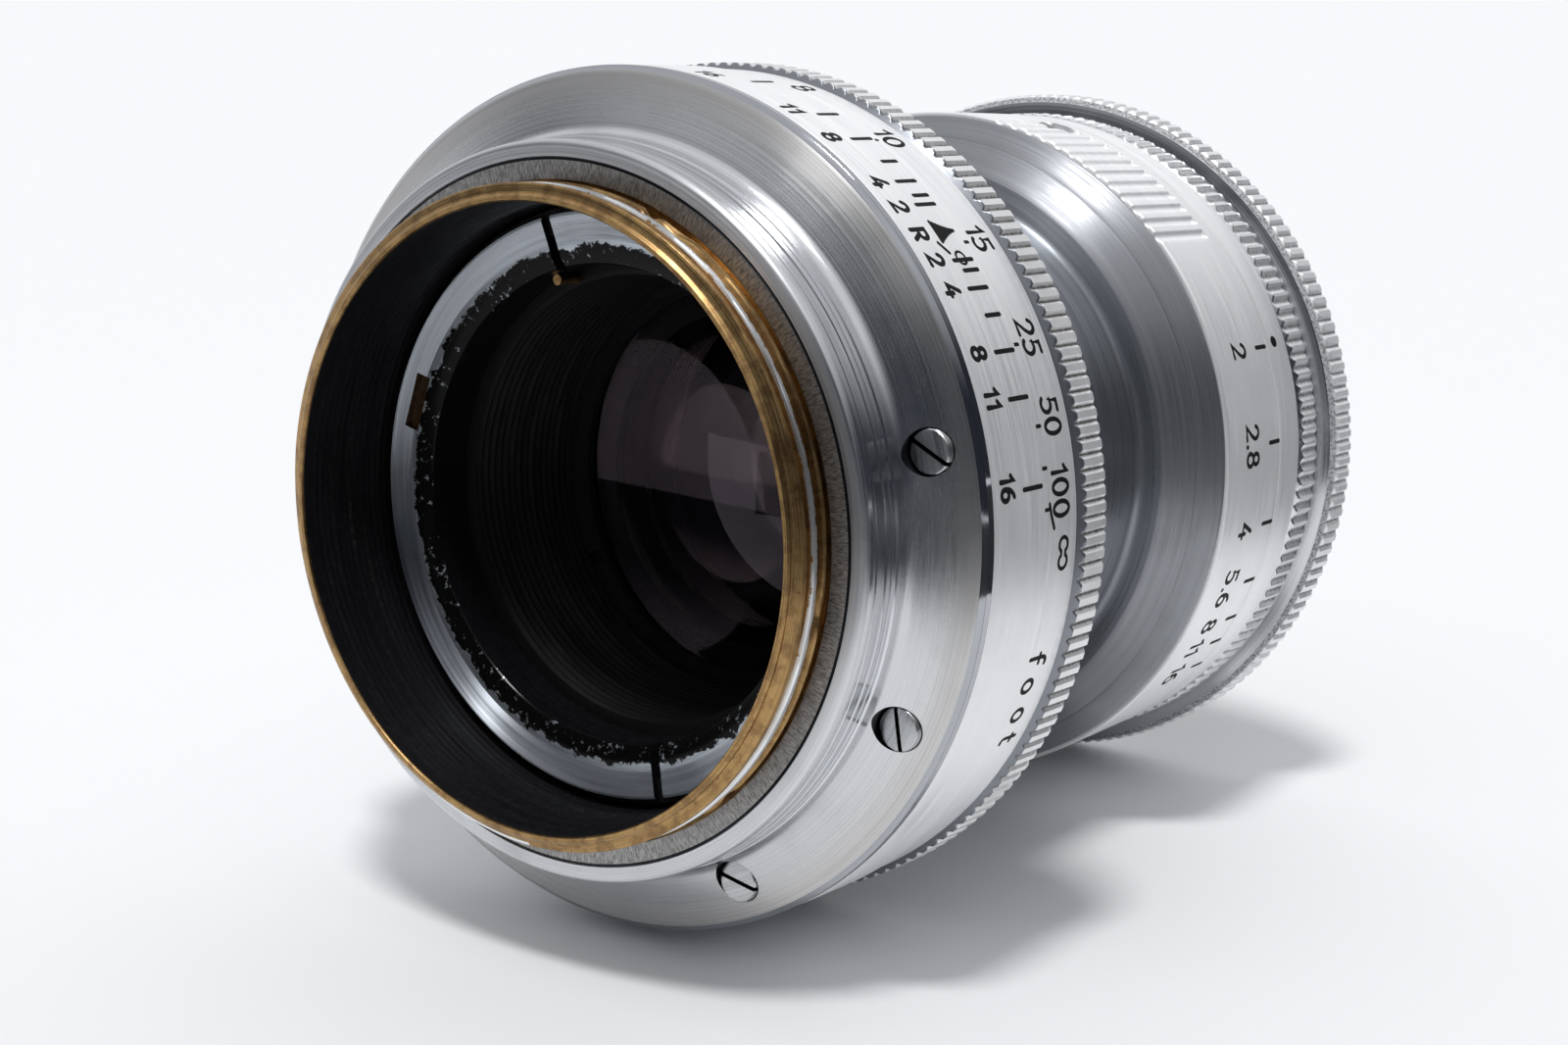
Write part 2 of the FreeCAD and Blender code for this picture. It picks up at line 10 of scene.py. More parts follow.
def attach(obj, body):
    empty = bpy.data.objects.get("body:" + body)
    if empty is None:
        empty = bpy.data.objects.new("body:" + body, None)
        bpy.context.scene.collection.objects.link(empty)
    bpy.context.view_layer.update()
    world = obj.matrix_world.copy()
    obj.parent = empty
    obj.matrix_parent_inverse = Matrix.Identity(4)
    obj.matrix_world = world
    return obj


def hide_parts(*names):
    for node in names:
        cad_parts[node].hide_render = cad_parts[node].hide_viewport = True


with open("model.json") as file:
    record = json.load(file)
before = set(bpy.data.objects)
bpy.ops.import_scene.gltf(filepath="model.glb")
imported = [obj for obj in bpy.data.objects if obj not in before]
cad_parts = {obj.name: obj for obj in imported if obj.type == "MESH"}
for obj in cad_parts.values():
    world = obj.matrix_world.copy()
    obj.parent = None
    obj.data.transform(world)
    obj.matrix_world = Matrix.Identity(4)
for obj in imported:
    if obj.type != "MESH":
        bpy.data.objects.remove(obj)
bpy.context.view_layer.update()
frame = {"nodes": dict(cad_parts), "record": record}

# Lengths are in millimetres until a mesh is made. The optical axis is Y: s is the distance in
# front of the flange seat, r the radius, and an angle runs from +Z towards -X, which is
# clockwise seen from behind the lens.
MM = 0.001

# Radii that a piece shares with its marks, its finish or its teeth.
SCALE_R = 26.1
DISTANCE_R = 25.9
FOCUS_GRIP_R = 26.3
APERTURE_R = 23.147
INDEX_R = 22.85
FINE_GRIP_R = 22.95
FRONT_GRIP_R = 24.3
NECK_R = 18.0
THREAD_ROOT_R = 18.87
THREAD_HEIGHT = 0.62
PITCH = 25.4 / 26


def at(s, r, angle):
    """The point at distance s, radius r and an angle in degrees, in millimetres."""
    turn = math.radians(angle)
    return Vector((-r * math.sin(turn), -s, r * math.cos(turn)))


# ------------------------------------------------------------------ mesh making

def make_piece(name, points, faces, materials, slots=None, sharp=32.0):
    """An object from points in millimetres, with its normals outwards. sharp is in degrees."""
    mesh = bpy.data.meshes.new(name)
    mesh.from_pydata((np.asarray(points, float) * MM).tolist(), [], faces)
    for material in materials:
        mesh.materials.append(material)
    if slots is not None:
        mesh.polygons.foreach_set("material_index", np.asarray(slots, np.int32))
    work = bmesh.new()
    work.from_mesh(mesh)
    bmesh.ops.remove_doubles(work, verts=work.verts, dist=1e-8)
    bmesh.ops.dissolve_degenerate(work, edges=work.edges, dist=1e-9)
    bmesh.ops.recalc_face_normals(work, faces=work.faces)
    work.to_mesh(mesh)
    work.free()
    piece = bpy.data.objects.new(name, mesh)
    bpy.context.scene.collection.objects.link(piece)
    smooth(piece, sharp)
    return piece


def smooth(piece, sharp):
    """Smooth shading, apart from edges sharper than an angle."""
    mesh = piece.data
    mesh.polygons.foreach_set("use_smooth", np.ones(len(mesh.polygons), bool))
    mesh.set_sharp_from_angle(angle=math.radians(sharp))
    mesh.update()


SOFTEST_CORNER = 20.0  # degrees; a softer bend of an outline stays as it is


def eased(outline, radius):
    """A closed outline of (s, r) points with its corners rounded."""
    count = len(outline)
    made = []
    for i in range(count):
        here = np.array(outline[i], float)
        before = np.array(outline[i - 1], float) - here
        after = np.array(outline[(i + 1) % count], float) - here
        long_before, long_after = np.hypot(*before), np.hypot(*after)
        bend = math.acos(max(-1.0, min(1.0, float(-(before @ after) / long_before / long_after))))
        if bend < math.radians(SOFTEST_CORNER):
            made.append((here[0], here[1]))
            continue
        reach = min(radius * math.tan(bend / 2), 0.3 * long_before, 0.3 * long_after)
        first, last = here + before / long_before * reach, here + after / long_after * reach
        for t in (0.0, 0.33, 0.67, 1.0):
            spot = first * (1 - t) ** 2 + here * 2 * t * (1 - t) + last * t * t
            made.append((spot[0], spot[1]))
    return made


def bow(start, middle, end, steps, zone=0):
    """Points of a curve from start towards end that is drawn to the middle point."""
    made = []
    for t in (i / steps for i in range(steps)):
        s, r = (start[k] * (1 - t) ** 2 + middle[k] * 2 * t * (1 - t) + end[k] * t * t for k in (0, 1))
        made.append((s, r, zone))
    return made


def rows(start, end, steps, zone=0):
    """Points on a straight run, so that a cut or a tooth has rows to bend at."""
    return [
        (start[0] + (end[0] - start[0]) * i / steps, start[1] + (end[1] - start[1]) * i / steps, zone)
        for i in range(steps)
    ]


def turned(name, outline, materials, angles, shape=None, sharp=32.0):
    """A piece turned round the optical axis.

    An outline's point is (s, r) or (s, r, material number of what follows), angles is a list or
    a number of equal steps, and shape(s, r, angle) may change the radius.
    """
    if isinstance(angles, int):
        angles = np.arange(angles) * 360.0 / angles
    s, angle = np.meshgrid([p[0] for p in outline], angles, indexing="ij")
    r = np.meshgrid([p[1] for p in outline], angles, indexing="ij")[0]
    if shape:
        r = shape(s, r, angle)
    turn = np.radians(angle)
    points = np.stack([-r * np.sin(turn), -s, r * np.cos(turn)], -1).reshape(-1, 3)
    high, wide = s.shape
    i, j = np.meshgrid(np.arange(high), np.arange(wide), indexing="ij")
    i_next, j_next = (i + 1) % high, (j + 1) % wide
    faces = np.stack(
        [i * wide + j, i * wide + j_next, i_next * wide + j_next, i_next * wide + j], -1
    ).reshape(-1, 4)
    slots = np.repeat([p[2] if len(p) > 2 else 0 for p in outline], wide)
    return make_piece(name, points, faces.tolist(), materials, slots, sharp)


def prism(corners, offset):
    """Points and faces of a flat outline moved along an offset."""
    count = len(corners)
    points = [Vector(c) for c in corners] + [Vector(c) + offset for c in corners]
    faces = [list(range(count)), list(range(2 * count - 1, count - 1, -1))]
    faces += [[i, (i + 1) % count, count + (i + 1) % count, count + i] for i in range(count)]
    return points, faces


def rod(start, end, radius, sides=40):
    """Points and faces of a cylinder."""
    start, end = Vector(start), Vector(end)
    along = (end - start).normalized()
    side = along.orthogonal().normalized()
    across = along.cross(side)
    ring = [
        start + (side * math.cos(t) + across * math.sin(t)) * radius
        for t in np.arange(sides) * 2 * math.pi / sides
    ]
    return prism(ring, end - start)


def block(centre, normal, along, width, length, depth):
    """Points and faces of a box that reaches down from a point on a surface."""
    centre, normal, along = Vector(centre), Vector(normal), Vector(along)
    side = normal.cross(along)
    corners = [
        centre + normal * 1.0 + along * (length / 2 * i) + side * (width / 2 * j)
        for i, j in ((-1, -1), (-1, 1), (1, 1), (1, -1))
    ]
    return prism(corners, -normal * (depth + 1.0))


def joined(parts):
    """One set of points and faces from several."""
    points, faces = [], []
    for more_points, more_faces in parts:
        faces += [[len(points) + i for i in face] for face in more_faces]
        points += list(more_points)
    return points, faces


def cut(piece, parts, sharp, inside=0):
    """Cuts closed shapes out of a piece; the cut faces get its material number inside."""
    points, faces = joined(parts)
    tool = make_piece(piece.name + "_tool", points, faces, piece.data.materials, [inside] * len(faces))
    modifier = piece.modifiers.new("cut", "BOOLEAN")
    modifier.operation = "DIFFERENCE"
    modifier.solver = "EXACT"
    modifier.object = tool
    graph = bpy.context.evaluated_depsgraph_get()
    mesh = bpy.data.meshes.new_from_object(piece.evaluated_get(graph))
    piece.modifiers.clear()
    piece.data = mesh
    bpy.data.objects.remove(tool)
    smooth(piece, sharp)
    return piece


def place(piece, body, slot, *nodes):
    """Makes a piece ride on a body, in place of CAD nodes."""
    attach(piece, body)
    if nodes:
        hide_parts(*nodes)
    return piece


# ------------------------------------------------------------------- materials

def feed(tree, socket, value):
    """Sets a socket, or links another node's output to it."""
    if isinstance(value, bpy.types.NodeSocket):
        tree.links.new(value, socket)
    else:
        socket.default_value = value


def add_node(tree, kind, inputs, settings):
    """A new shader node, with its inputs fed and its settings made."""
    node = tree.nodes.new("ShaderNode" + kind)
    for key, value in settings.items():
        setattr(node, key, value)
    for key, value in dict(inputs).items():
        feed(tree, node.inputs[key], value)
    return node


class Finish:
    """One procedural material, with short calls for its nodes."""

    def __init__(self, name, **values):
        self.material = bpy.data.materials.new(name)
        self.material.use_nodes = True
        self.tree = self.material.node_tree
        self.shader = self.tree.nodes["Principled BSDF"]
        for socket, value in values.items():
            self.shader.inputs[socket.replace("_", " ")].default_value = value

    def add(self, kind, inputs=(), **settings):
        return add_node(self.tree, kind, inputs, settings)

    def put(self, socket, value):
        feed(self.tree, socket, value)

    def math(self, operation, *values):
        return self.add("Math", enumerate(values), operation=operation).outputs[0]

    def lens(self):
        """Distance, radius, and the sine and cosine of the angle, in millimetres."""
        metres = self.add("TexCoord").outputs["Object"]
        scaled = self.add("VectorMath", {0: metres, 1: (1000, 1000, 1000)}, operation="MULTIPLY")
        parts = self.add("SeparateXYZ", {0: scaled.outputs[0]}).outputs
        r = self.math(
            "SQRT", self.math("ADD", self.math("MULTIPLY", parts[0], parts[0]),
                              self.math("MULTIPLY", parts[2], parts[2])))
        self.s = self.math("MULTIPLY", parts[1], -1.0)
        self.r = r
        self.sine = self.math("DIVIDE", self.math("MULTIPLY", parts[0], -1.0), r)
        self.cosine = self.math("DIVIDE", parts[2], r)
        self.spot = scaled.outputs[0]

    def noise(self, vector, scale=1.0, detail=2.0, roughness=0.5):
        values = {"Vector": vector, "Scale": scale, "Detail": detail, "Roughness": roughness}
        return self.add("TexNoise", values).outputs["Fac"]

    def lines(self, fine, along, detail=3.0):
        """Noise drawn out round the axis, as a lathe tool leaves it."""
        travel = self.math("ADD", self.s, self.math("MULTIPLY", self.r, 0.83))
        across = self.math("MULTIPLY", travel, fine)
        vector = self.add("CombineXYZ", {
            0: self.math("MULTIPLY", self.sine, along), 1: across,
            2: self.math("MULTIPLY", self.cosine, along)}).outputs[0]
        return self.noise(vector, 1.0, detail, 0.6)

    def grain(self, fine, across):
        """Noise drawn out along the axis and the radius."""
        vector = self.add("CombineXYZ", {
            0: self.math("MULTIPLY", self.sine, fine),
            1: self.math("MULTIPLY", self.math("ADD", self.s, self.r), across),
            2: self.math("MULTIPLY", self.cosine, fine)}).outputs[0]
        return self.noise(vector, 1.0, 3.0, 0.6)

    def between(self, value, low, high, out_low=0.0, out_high=1.0):
        return self.add("MapRange", {
            "Value": value, "From Min": low, "From Max": high,
            "To Min": out_low, "To Max": out_high}, interpolation_type="SMOOTHSTEP").outputs[0]

    def mix(self, factor, first, second):
        node = self.add("Mix", data_type="RGBA")
        for key, value in ((0, factor), (6, first), (7, second)):
            if isinstance(value, tuple) and len(value) == 3:
                value = (*value, 1.0)
            self.put(node.inputs[key], value)
        return node.outputs[2]

    def bump(self, height, strength, distance):
        node = self.add("Bump", {"Height": height, "Strength": strength, "Distance": distance})
        self.put(self.shader.inputs["Normal"], node.outputs[0])

    def along_turn(self):
        """Turns the stretched highlight to lie across the tool lines."""
        node = self.add("Tangent", direction_type="RADIAL", axis="Y")
        self.put(self.shader.inputs["Tangent"], node.outputs[0])


def turned_metal(name, light, dark, rough, fine=6.0, along=3.0, depth=0.4, stretch=0.0,
                 smudge=0.05, flute=None, metal=1.0, bands=0.4, wear=None):
    """Plated or bare metal with tool lines round the axis, smudges, and a darker colour in its flutes.

    fine and along set the tool lines' pitch across and along them, depth their bump, stretch the
    highlight's, smudge the darkening. flute is (crest radius, depth, colour deep in the flutes), and
    wear is (radius where it starts, where it is full, colour, added roughness).
    """
    f = Finish(name, Metallic=metal, Anisotropic=stretch, Anisotropic_Rotation=0.25)
    f.lens()
    tool = f.lines(fine, along)
    broad = f.lines(fine / 6, along * 0.7, 2.0)
    haze = f.noise(f.spot, 0.22, 3.0)
    tone = f.math("ADD", f.math("MULTIPLY", tool, 1.0 - bands), f.math("MULTIPLY", broad, bands))
    colour = f.mix(f.between(tone, 0.3, 0.7), dark, light)
    colour = f.mix(f.between(haze, 0.5, 0.75, 0.0, smudge), colour, tuple(0.62 * c for c in dark))
    roughness = f.math("ADD", f.between(tool, 0.25, 0.75, rough * 0.7, rough * 1.25),
                       f.between(haze, 0.4, 0.8, 0.0, 0.08))
    if wear:
        start, full, bare, rougher = wear
        worn = f.between(f.r, start, full)
        bare = f.mix(f.between(tool, 0.3, 0.7), tuple(0.72 * c for c in bare), bare)
        colour = f.mix(worn, colour, bare)
        roughness = f.math("ADD", roughness, f.math("MULTIPLY", worn, rougher))
    # A darker colour deep in the flutes, with a noisy edge, and more roughness there.
    if flute:
        crest, deep, flute_colour = flute
        flute_edge_noise = f.math("MULTIPLY", f.math("SUBTRACT", f.noise(f.spot, 3.5, 4.0), 0.5), 0.5 * deep)
        inside = f.between(f.math("ADD", f.r, flute_edge_noise), crest - 0.95 * deep, crest - 0.45 * deep, 1.0, 0.0)
        spots = f.mix(f.between(f.noise(f.spot, 6.0, 4.0), 0.35, 0.65), flute_colour,
                      tuple(0.45 * c for c in flute_colour))
        colour = f.mix(inside, colour, spots)
        roughness = f.math("ADD", roughness, f.math("MULTIPLY", inside, 0.3))
    f.put(f.shader.inputs["Base Color"], colour)
    f.put(f.shader.inputs["Roughness"], roughness)
    f.bump(tool, 0.35 * depth, 0.00002)
    if stretch:
        f.along_turn()
    return f.material


def seat_metal():
    """The rough flange seat: grey-brown grain with radial scratches."""
    f = Finish("seat_metal", Metallic=1.0)
    f.lens()
    grit = f.noise(f.spot, 22.0, 6.0, 0.8)
    scratches = f.grain(260.0, 2.4)
    tone = f.math("ADD", f.math("MULTIPLY", grit, 0.6), f.math("MULTIPLY", scratches, 0.4))
    colour = f.mix(f.between(tone, 0.38, 0.62), (0.10, 0.097, 0.093), (0.60, 0.59, 0.58))
    f.put(f.shader.inputs["Base Color"], colour)
    f.put(f.shader.inputs["Roughness"], f.between(grit, 0.3, 0.7, 0.30, 0.55))
    f.bump(tone, 0.4, 0.00003)
    return f.material


def worn_brass(name, plated=False):
    """Bare brass with tool lines and tarnish; plating is left on one crest of the thread."""
    f = Finish(name, Metallic=1.0, Anisotropic=0.6, Anisotropic_Rotation=0.25)
    f.lens()
    tool = f.lines(16.0, 2.0)
    tarnish = f.noise(f.spot, 0.7, 6.0, 0.7)
    speck = f.noise(f.spot, 5.0, 5.0, 0.7)
    colour = f.mix(f.between(tool, 0.3, 0.7), (0.34, 0.20, 0.08), (0.56, 0.37, 0.16))
    colour = f.mix(f.between(tarnish, 0.42, 0.62, 0.0, 0.75), colour, (0.20, 0.115, 0.055))
    colour = f.mix(f.between(speck, 0.60, 0.70, 0.0, 0.7), colour, (0.07, 0.04, 0.02))
    if plated:
        turn = f.add("Math", {0: f.sine, 1: f.cosine}, operation="ARCTAN2").outputs[0]
        along = f.math("SUBTRACT", f.s, f.math("MULTIPLY", turn, PITCH / 2 / math.pi))
        edge = f.math("ADD", along, f.math("MULTIPLY", f.math("SUBTRACT", tarnish, 0.5), 0.9))
        wide = f.between(turn, 1.5, 2.4)
        edge = f.math("DIVIDE", f.math("ADD", edge, 1.6), f.math("ADD", f.math("MULTIPLY", wide, 0.9), 0.75))
        left = f.math("MULTIPLY", f.between(edge, -0.30, -0.24), f.between(edge, 0.24, 0.30, 1.0, 0.0))
        lift = f.math("ADD", f.math("MULTIPLY", speck, 0.1), f.math("MULTIPLY", wide, 0.30))
        high = f.between(f.math("ADD", f.r, lift), 19.32, 19.40)
        left = f.math("MULTIPLY", left, high)
        colour = f.mix(left, colour, (0.88, 0.89, 0.90))
    f.put(f.shader.inputs["Base Color"], colour)
    f.put(f.shader.inputs["Roughness"], f.between(tool, 0.25, 0.75, 0.24, 0.42))
    f.bump(tool, 0.4, 0.00002)
    f.along_turn()
    return f.material


def black_paint(name, base, worn, rough=0.5):
    """Matt black paint with faint dust, thin on its ridges."""
    f = Finish(name, Specular_IOR_Level=0.2)
    f.lens()
    grit = f.noise(f.spot, 3.0, 5.0, 0.7)
    ring = f.lines(5.0, 1.5)
    colour = f.mix(f.between(grit, 0.4, 0.75), base, tuple(2.4 * c for c in base))
    bare = f.between(f.math("ADD", f.math("MULTIPLY", grit, 0.6), f.math("MULTIPLY", ring, 0.4)),
                     0.60, 0.66, 0.0, worn)
    colour = f.mix(bare, colour, (0.16, 0.11, 0.07))
    f.put(f.shader.inputs["Base Color"], colour)
    f.put(f.shader.inputs["Roughness"], f.between(ring, 0.3, 0.7, rough - 0.08, rough + 0.12))
    f.bump(grit, 0.25, 0.00003)
    return f.material


def flaked_paint():
    """Steel ring whose black paint has flaked off away from the bore."""
    f = Finish("flaked_paint", Specular_IOR_Level=0.1)
    f.lens()
    tool = f.lines(6.0, 2.0)
    flake = f.noise(f.spot, 0.75, 6.0, 0.72)
    steel = f.mix(f.between(tool, 0.3, 0.7), (0.42, 0.45, 0.49), (0.66, 0.70, 0.75))
    left = f.math("ADD", f.math("MULTIPLY", f.math("SUBTRACT", 15.75, f.r), 0.45), flake)
    chips = f.between(f.noise(f.spot, 1.7, 5.0, 0.75), 0.60, 0.64, 0.0, 0.5)
    paint = f.math("MULTIPLY", f.between(left, 0.52, 0.56), f.math("SUBTRACT", 1.0, chips))
    colour = f.mix(paint, steel, (0.003, 0.003, 0.003))
    f.put(f.shader.inputs["Base Color"], colour)
    f.put(f.shader.inputs["Metallic"], f.math("SUBTRACT", 1.0, paint))
    f.put(f.shader.inputs["Roughness"], f.math("SUBTRACT", 0.40, f.math("MULTIPLY", paint, 0.22)))
    f.bump(f.math("ADD", paint, f.math("MULTIPLY", tool, 0.1)), 0.5, 0.00003)
    return f.material


def mark_paint():
    """Black paint in the engraved marks."""
    f = Finish("mark_paint", Specular_IOR_Level=0.12)
    f.lens()
    grit = f.noise(f.spot, 7.0, 4.0, 0.6)
    colour = f.mix(f.between(grit, 0.4, 0.75), (0.004, 0.004, 0.005), (0.022, 0.021, 0.02))
    f.put(f.shader.inputs["Base Color"], colour)
    f.put(f.shader.inputs["Roughness"], f.between(grit, 0.3, 0.7, 0.45, 0.7))
    f.bump(grit, 0.3, 0.00002)
    return f.material


def coated_glass(name, tint, coat):
    """Polished glass with a thin violet coating and faint cleaning marks."""
    f = Finish(name, Transmission_Weight=1.0, IOR=1.55)
    f.lens()
    wipe = f.noise(f.spot, 0.5, 4.0, 0.6)
    colour = f.mix(f.between(wipe, 0.3, 0.7), tint, tuple(0.94 * c for c in tint))
    f.put(f.shader.inputs["Base Color"], colour)
    f.put(f.shader.inputs["Roughness"], f.between(wipe, 0.3, 0.9, 0.0, 0.004))
    f.shader.inputs["Specular Tint"].default_value = (*coat, 1.0)
    return f.material


def blade_steel():
    """Thin blued steel with a fine rolled grain."""
    f = Finish("blade_steel", Metallic=1.0)
    f.lens()
    grain = f.noise(f.spot, 2.5, 5.0, 0.6)
    colour = f.mix(f.between(grain, 0.3, 0.7), (0.035, 0.038, 0.045), (0.10, 0.105, 0.12))
    f.put(f.shader.inputs["Base Color"], colour)
    f.put(f.shader.inputs["Roughness"], f.between(grain, 0.3, 0.7, 0.3, 0.45))
    f.bump(grain, 0.2, 0.00001)
    return f.material


brass = worn_brass("worn_brass")
brass_thread = worn_brass("thread_brass", plated=True)
seat = seat_metal()
polished = turned_metal("polished_chrome", (0.80, 0.81, 0.83), (0.56, 0.57, 0.59), 0.16,
                        fine=9.0, along=0.8, depth=0.5, stretch=0.6, smudge=0.1)
boss_metal = turned_metal("boss_chrome", (0.82, 0.83, 0.85), (0.55, 0.56, 0.58), 0.36,
                          fine=12.0, along=0.8, depth=0.8, stretch=0.7, smudge=0.1)
# Painted shade: chrome darker than the polished chrome, for the flange's edge, so that it reads as a dark
# line.
edge_chrome_painted_shade = turned_metal("edge_chrome_painted_shade", (0.46, 0.475, 0.50), (0.38, 0.395, 0.42), 0.05,
                           along=2.0, depth=0.1)
brushed = turned_metal("brushed_chrome", (0.74, 0.75, 0.77), (0.58, 0.585, 0.60), 0.2,
                       fine=22.0, along=1.0, depth=0.9, stretch=0.8, smudge=0.2, bands=0.15,
                       wear=(23.2, 25.6, (0.72, 0.71, 0.70), 0.13))
satin = turned_metal("satin_chrome", (0.97, 0.975, 0.98), (0.91, 0.915, 0.925), 0.48,
                     depth=0.6, stretch=0.4, metal=0.72)
# Painted shade: plated chrome with a far darker colour than the bright chrome, for the neck and the focus
# ring's groove and rear faces.
neck_metal_painted_shade = turned_metal("neck_chrome_painted_shade", (0.31, 0.325, 0.35), (0.235, 0.25, 0.275), 0.36,
                          fine=5.0, along=0.7, depth=0.35, stretch=0.85, smudge=0.1,
                          metal=0.88, bands=0.35)
steel = turned_metal("turned_steel", (0.66, 0.67, 0.68), (0.40, 0.41, 0.42), 0.3,
                     fine=5.0, along=2.0, depth=1.0, stretch=0.3, smudge=0.3)
shadow_metal = turned_metal("shadowed_step", (0.04, 0.044, 0.052), (0.016, 0.018, 0.022), 0.4,
                            depth=0.5, smudge=0.2)
focus_grip = turned_metal("focus_grip_metal", (0.95, 0.95, 0.95), (0.86, 0.86, 0.86), 0.42,
                          metal=0.75, flute=(FOCUS_GRIP_R, 0.26, (0.30, 0.29, 0.27)))
fine_grip = turned_metal("fine_grip_metal", (0.95, 0.95, 0.96), (0.86, 0.86, 0.87), 0.42,
                         metal=0.7, flute=(FINE_GRIP_R, 0.24, (0.55, 0.55, 0.56)))
front_grip = turned_metal("front_grip_metal", (0.96, 0.96, 0.97), (0.88, 0.88, 0.89), 0.44,
                          metal=0.7, flute=(FRONT_GRIP_R, 0.26, (0.62, 0.62, 0.64)))
black = black_paint("interior_black", (0.006, 0.006, 0.007), 0.04)
ridge_black = black_paint("ridge_black", (0.004, 0.004, 0.005), 0.12, 0.4)
deep_black = black_paint("deep_black", (0.002, 0.002, 0.002), 0.05, 0.6)
flaked = flaked_paint()
marks_black = mark_paint()
blued = blade_steel()
glass = coated_glass("coated_glass", (0.89, 0.85, 0.84), (0.40, 0.33, 0.40))
# Painted shade: plated chrome with a darker colour than the bright chrome, for the flare in front of the
# neck.
flare_metal_painted_shade = turned_metal("flare_chrome_painted_shade", (0.37, 0.38, 0.40), (0.28, 0.29, 0.31), 0.42,
                           fine=8.0, along=0.8, depth=0.45, stretch=0.75, smudge=0.1,
                           metal=0.86, bands=0.35)
steel_face = turned_metal("lock_ring_steel", (0.74, 0.78, 0.84), (0.46, 0.49, 0.54), 0.44,
                          along=1.2, depth=0.5, stretch=1.0, smudge=0.3)
stain = black_paint("old_varnish", (0.030, 0.016, 0.008), 0.3, 0.35)

CAD_FINISH = {
    "worn_brass": brass, "plated_chrome": polished, "satin_chrome": satin, "bare_steel": steel,
    "black_paint": black, "coated_glass": glass, "blued_steel": blued,
}
for part in frame["record"]["subparts"]:
    node = frame["nodes"][part["node"]]
    node.data.materials.clear()
    node.data.materials.append(CAD_FINISH[part["material_slot"]])


# ------------------------------------------------------------------ fixed mount

THREAD_START, THREAD_END = -2.78, -0.1
THREAD_MARK_R = 18.95  # the outline's radius where thread_shape makes the thread
RIDGES, RIDGE_PITCH, BORE_R = 16, 0.5, 18.34

# Knocks in the thread's crest: angle, distance, width in degrees and depth as a share of the crest.
NICKS = (
    (21, -0.5, 1.2, 0.9), (27, -0.6, 3.0, 0.4), (137, -0.55, 1.5, 0.8), (146, -0.5, 2.5, 0.6),
    (152, -0.6, 1.4, 0.9), (98, -0.5, 2.0, 0.5),
)


def thread_shape(s, r, angle):
    """Radius of the helical mount thread; the rest of the collar is left alone."""
    phase = (s + 2.5) / PITCH - angle / 360.0
    across = np.abs(phase - np.round(phase))
    crest = np.clip((0.40 - across) / 0.24, 0.0, 1.0)
    run_in = np.clip((s + 2.76) / 0.2, 0.0, 1.0)
    run_out = np.clip((-0.12 - s) / 0.15, 0.0, 1.0)
    for heading, spot, wide, deep in NICKS:
        away = (angle - heading + 180) % 360 - 180
        crest = crest * (1 - deep * np.exp(-(away / wide) ** 2 - ((s - spot) / 0.3) ** 2))
    return np.where(r == THREAD_MARK_R, THREAD_ROOT_R + THREAD_HEIGHT * crest * run_in * run_out, r)


def mount_collar():
    outside = rows((THREAD_START, THREAD_MARK_R), (THREAD_END, THREAD_MARK_R), 64)
    inside = []
    for ridge in range(RIDGES):
        s = 5.6 - ridge * RIDGE_PITCH
        inside += [(s, BORE_R, 1), (s - 0.22, BORE_R + 0.12, 1), (s - 0.28, BORE_R + 0.12, 1),
                   (s - 0.47, BORE_R, 1)]
    outline = [(-2.76, 18.42, 2), (-2.9, 18.5, 0), (-2.9, 18.74, 0), (-2.84, 18.79, 0)] + outside
    outline += [(-0.08, THREAD_ROOT_R), (0.5, THREAD_ROOT_R), (0.5, 20.4), (5.6, 20.4, 1)] + inside[:-2]
    piece = turned("mount_collar_thread", outline, [brass_thread, ridge_black, brass], 360,
                   thread_shape, 40)
    return place(piece, "mount", "worn_brass", "mount_collar")


SCREWS = ((75, 116), (114.5, 170), (153.5, 101), (235, 40), (275, -25))  # place, way of the slot
SCREW_CIRCLE = 23.5


def mount_flange():
    # The seat ring and the boss.
    outline = [(0.0, 19.6, 0), (0.0, 20.7, 2), (0.1, 20.76, 2), (0.1, 20.84, 5), (0.0, 20.9, 5),
               (0.0, 21.42, 5)]
    outline += bow((0.03, 21.55), (0.06, 21.86), (0.4, 21.9), 5, 5)
    # The boss's fine rings.
    outline += [(0.4, 21.9, 1), (0.9, 21.9, 1), (0.94, 21.82, 1), (1.02, 21.82, 1), (1.06, 21.9, 1),
                (1.72, 21.9, 1), (1.8, 21.78, 1), (1.9, 21.78, 1), (1.96, 21.92, 1),
                (2.3, 21.94, 1), (2.33, 21.87, 1), (2.4, 21.87, 1), (2.43, 21.95, 1),
                (2.7, 21.96, 1), (2.78, 21.86, 1), (2.86, 21.86, 1)]
    # The cove, the brushed dish and its polished edge, in chrome painted darker than the rest: partly
    # painted shade, which with the edge's own dark reflection draws the dark line at the rim.
    outline += [(2.94, 22.0, 3), (3.4, 22.05, 3)] + bow((3.4, 22.05), (3.92, 22.1), (4.12, 22.74), 8, 3)
    outline += rows((4.12, 22.74), (5.352, 25.8), 16, 3)
    outline += [(5.352, 25.8, 4), (5.368, 25.82, 4), (5.58, 26.08, 4), (5.6, SCALE_R, 2),
                (5.63, SCALE_R, 4), (6.12, SCALE_R, 2), (6.15, SCALE_R - 0.06, 2)]
    # The hidden back.
    outline += [(6.15, 20.4, 2), (0.5, 20.4, 2), (0.5, 19.6, 2)]
    materials = [seat, polished, shadow_metal, brushed, edge_chrome_painted_shade, boss_metal]
    piece = turned("mount_flange_face", outline, materials, 360, None, 28)
    holes = [rod(at(3.4, SCREW_CIRCLE, a), at(5.62, SCREW_CIRCLE, a), 1.36) for a, _ in SCREWS]
    cut(piece, holes, 28, 2)
    return place(piece, "mount", "plated_chrome", "mount_flange")


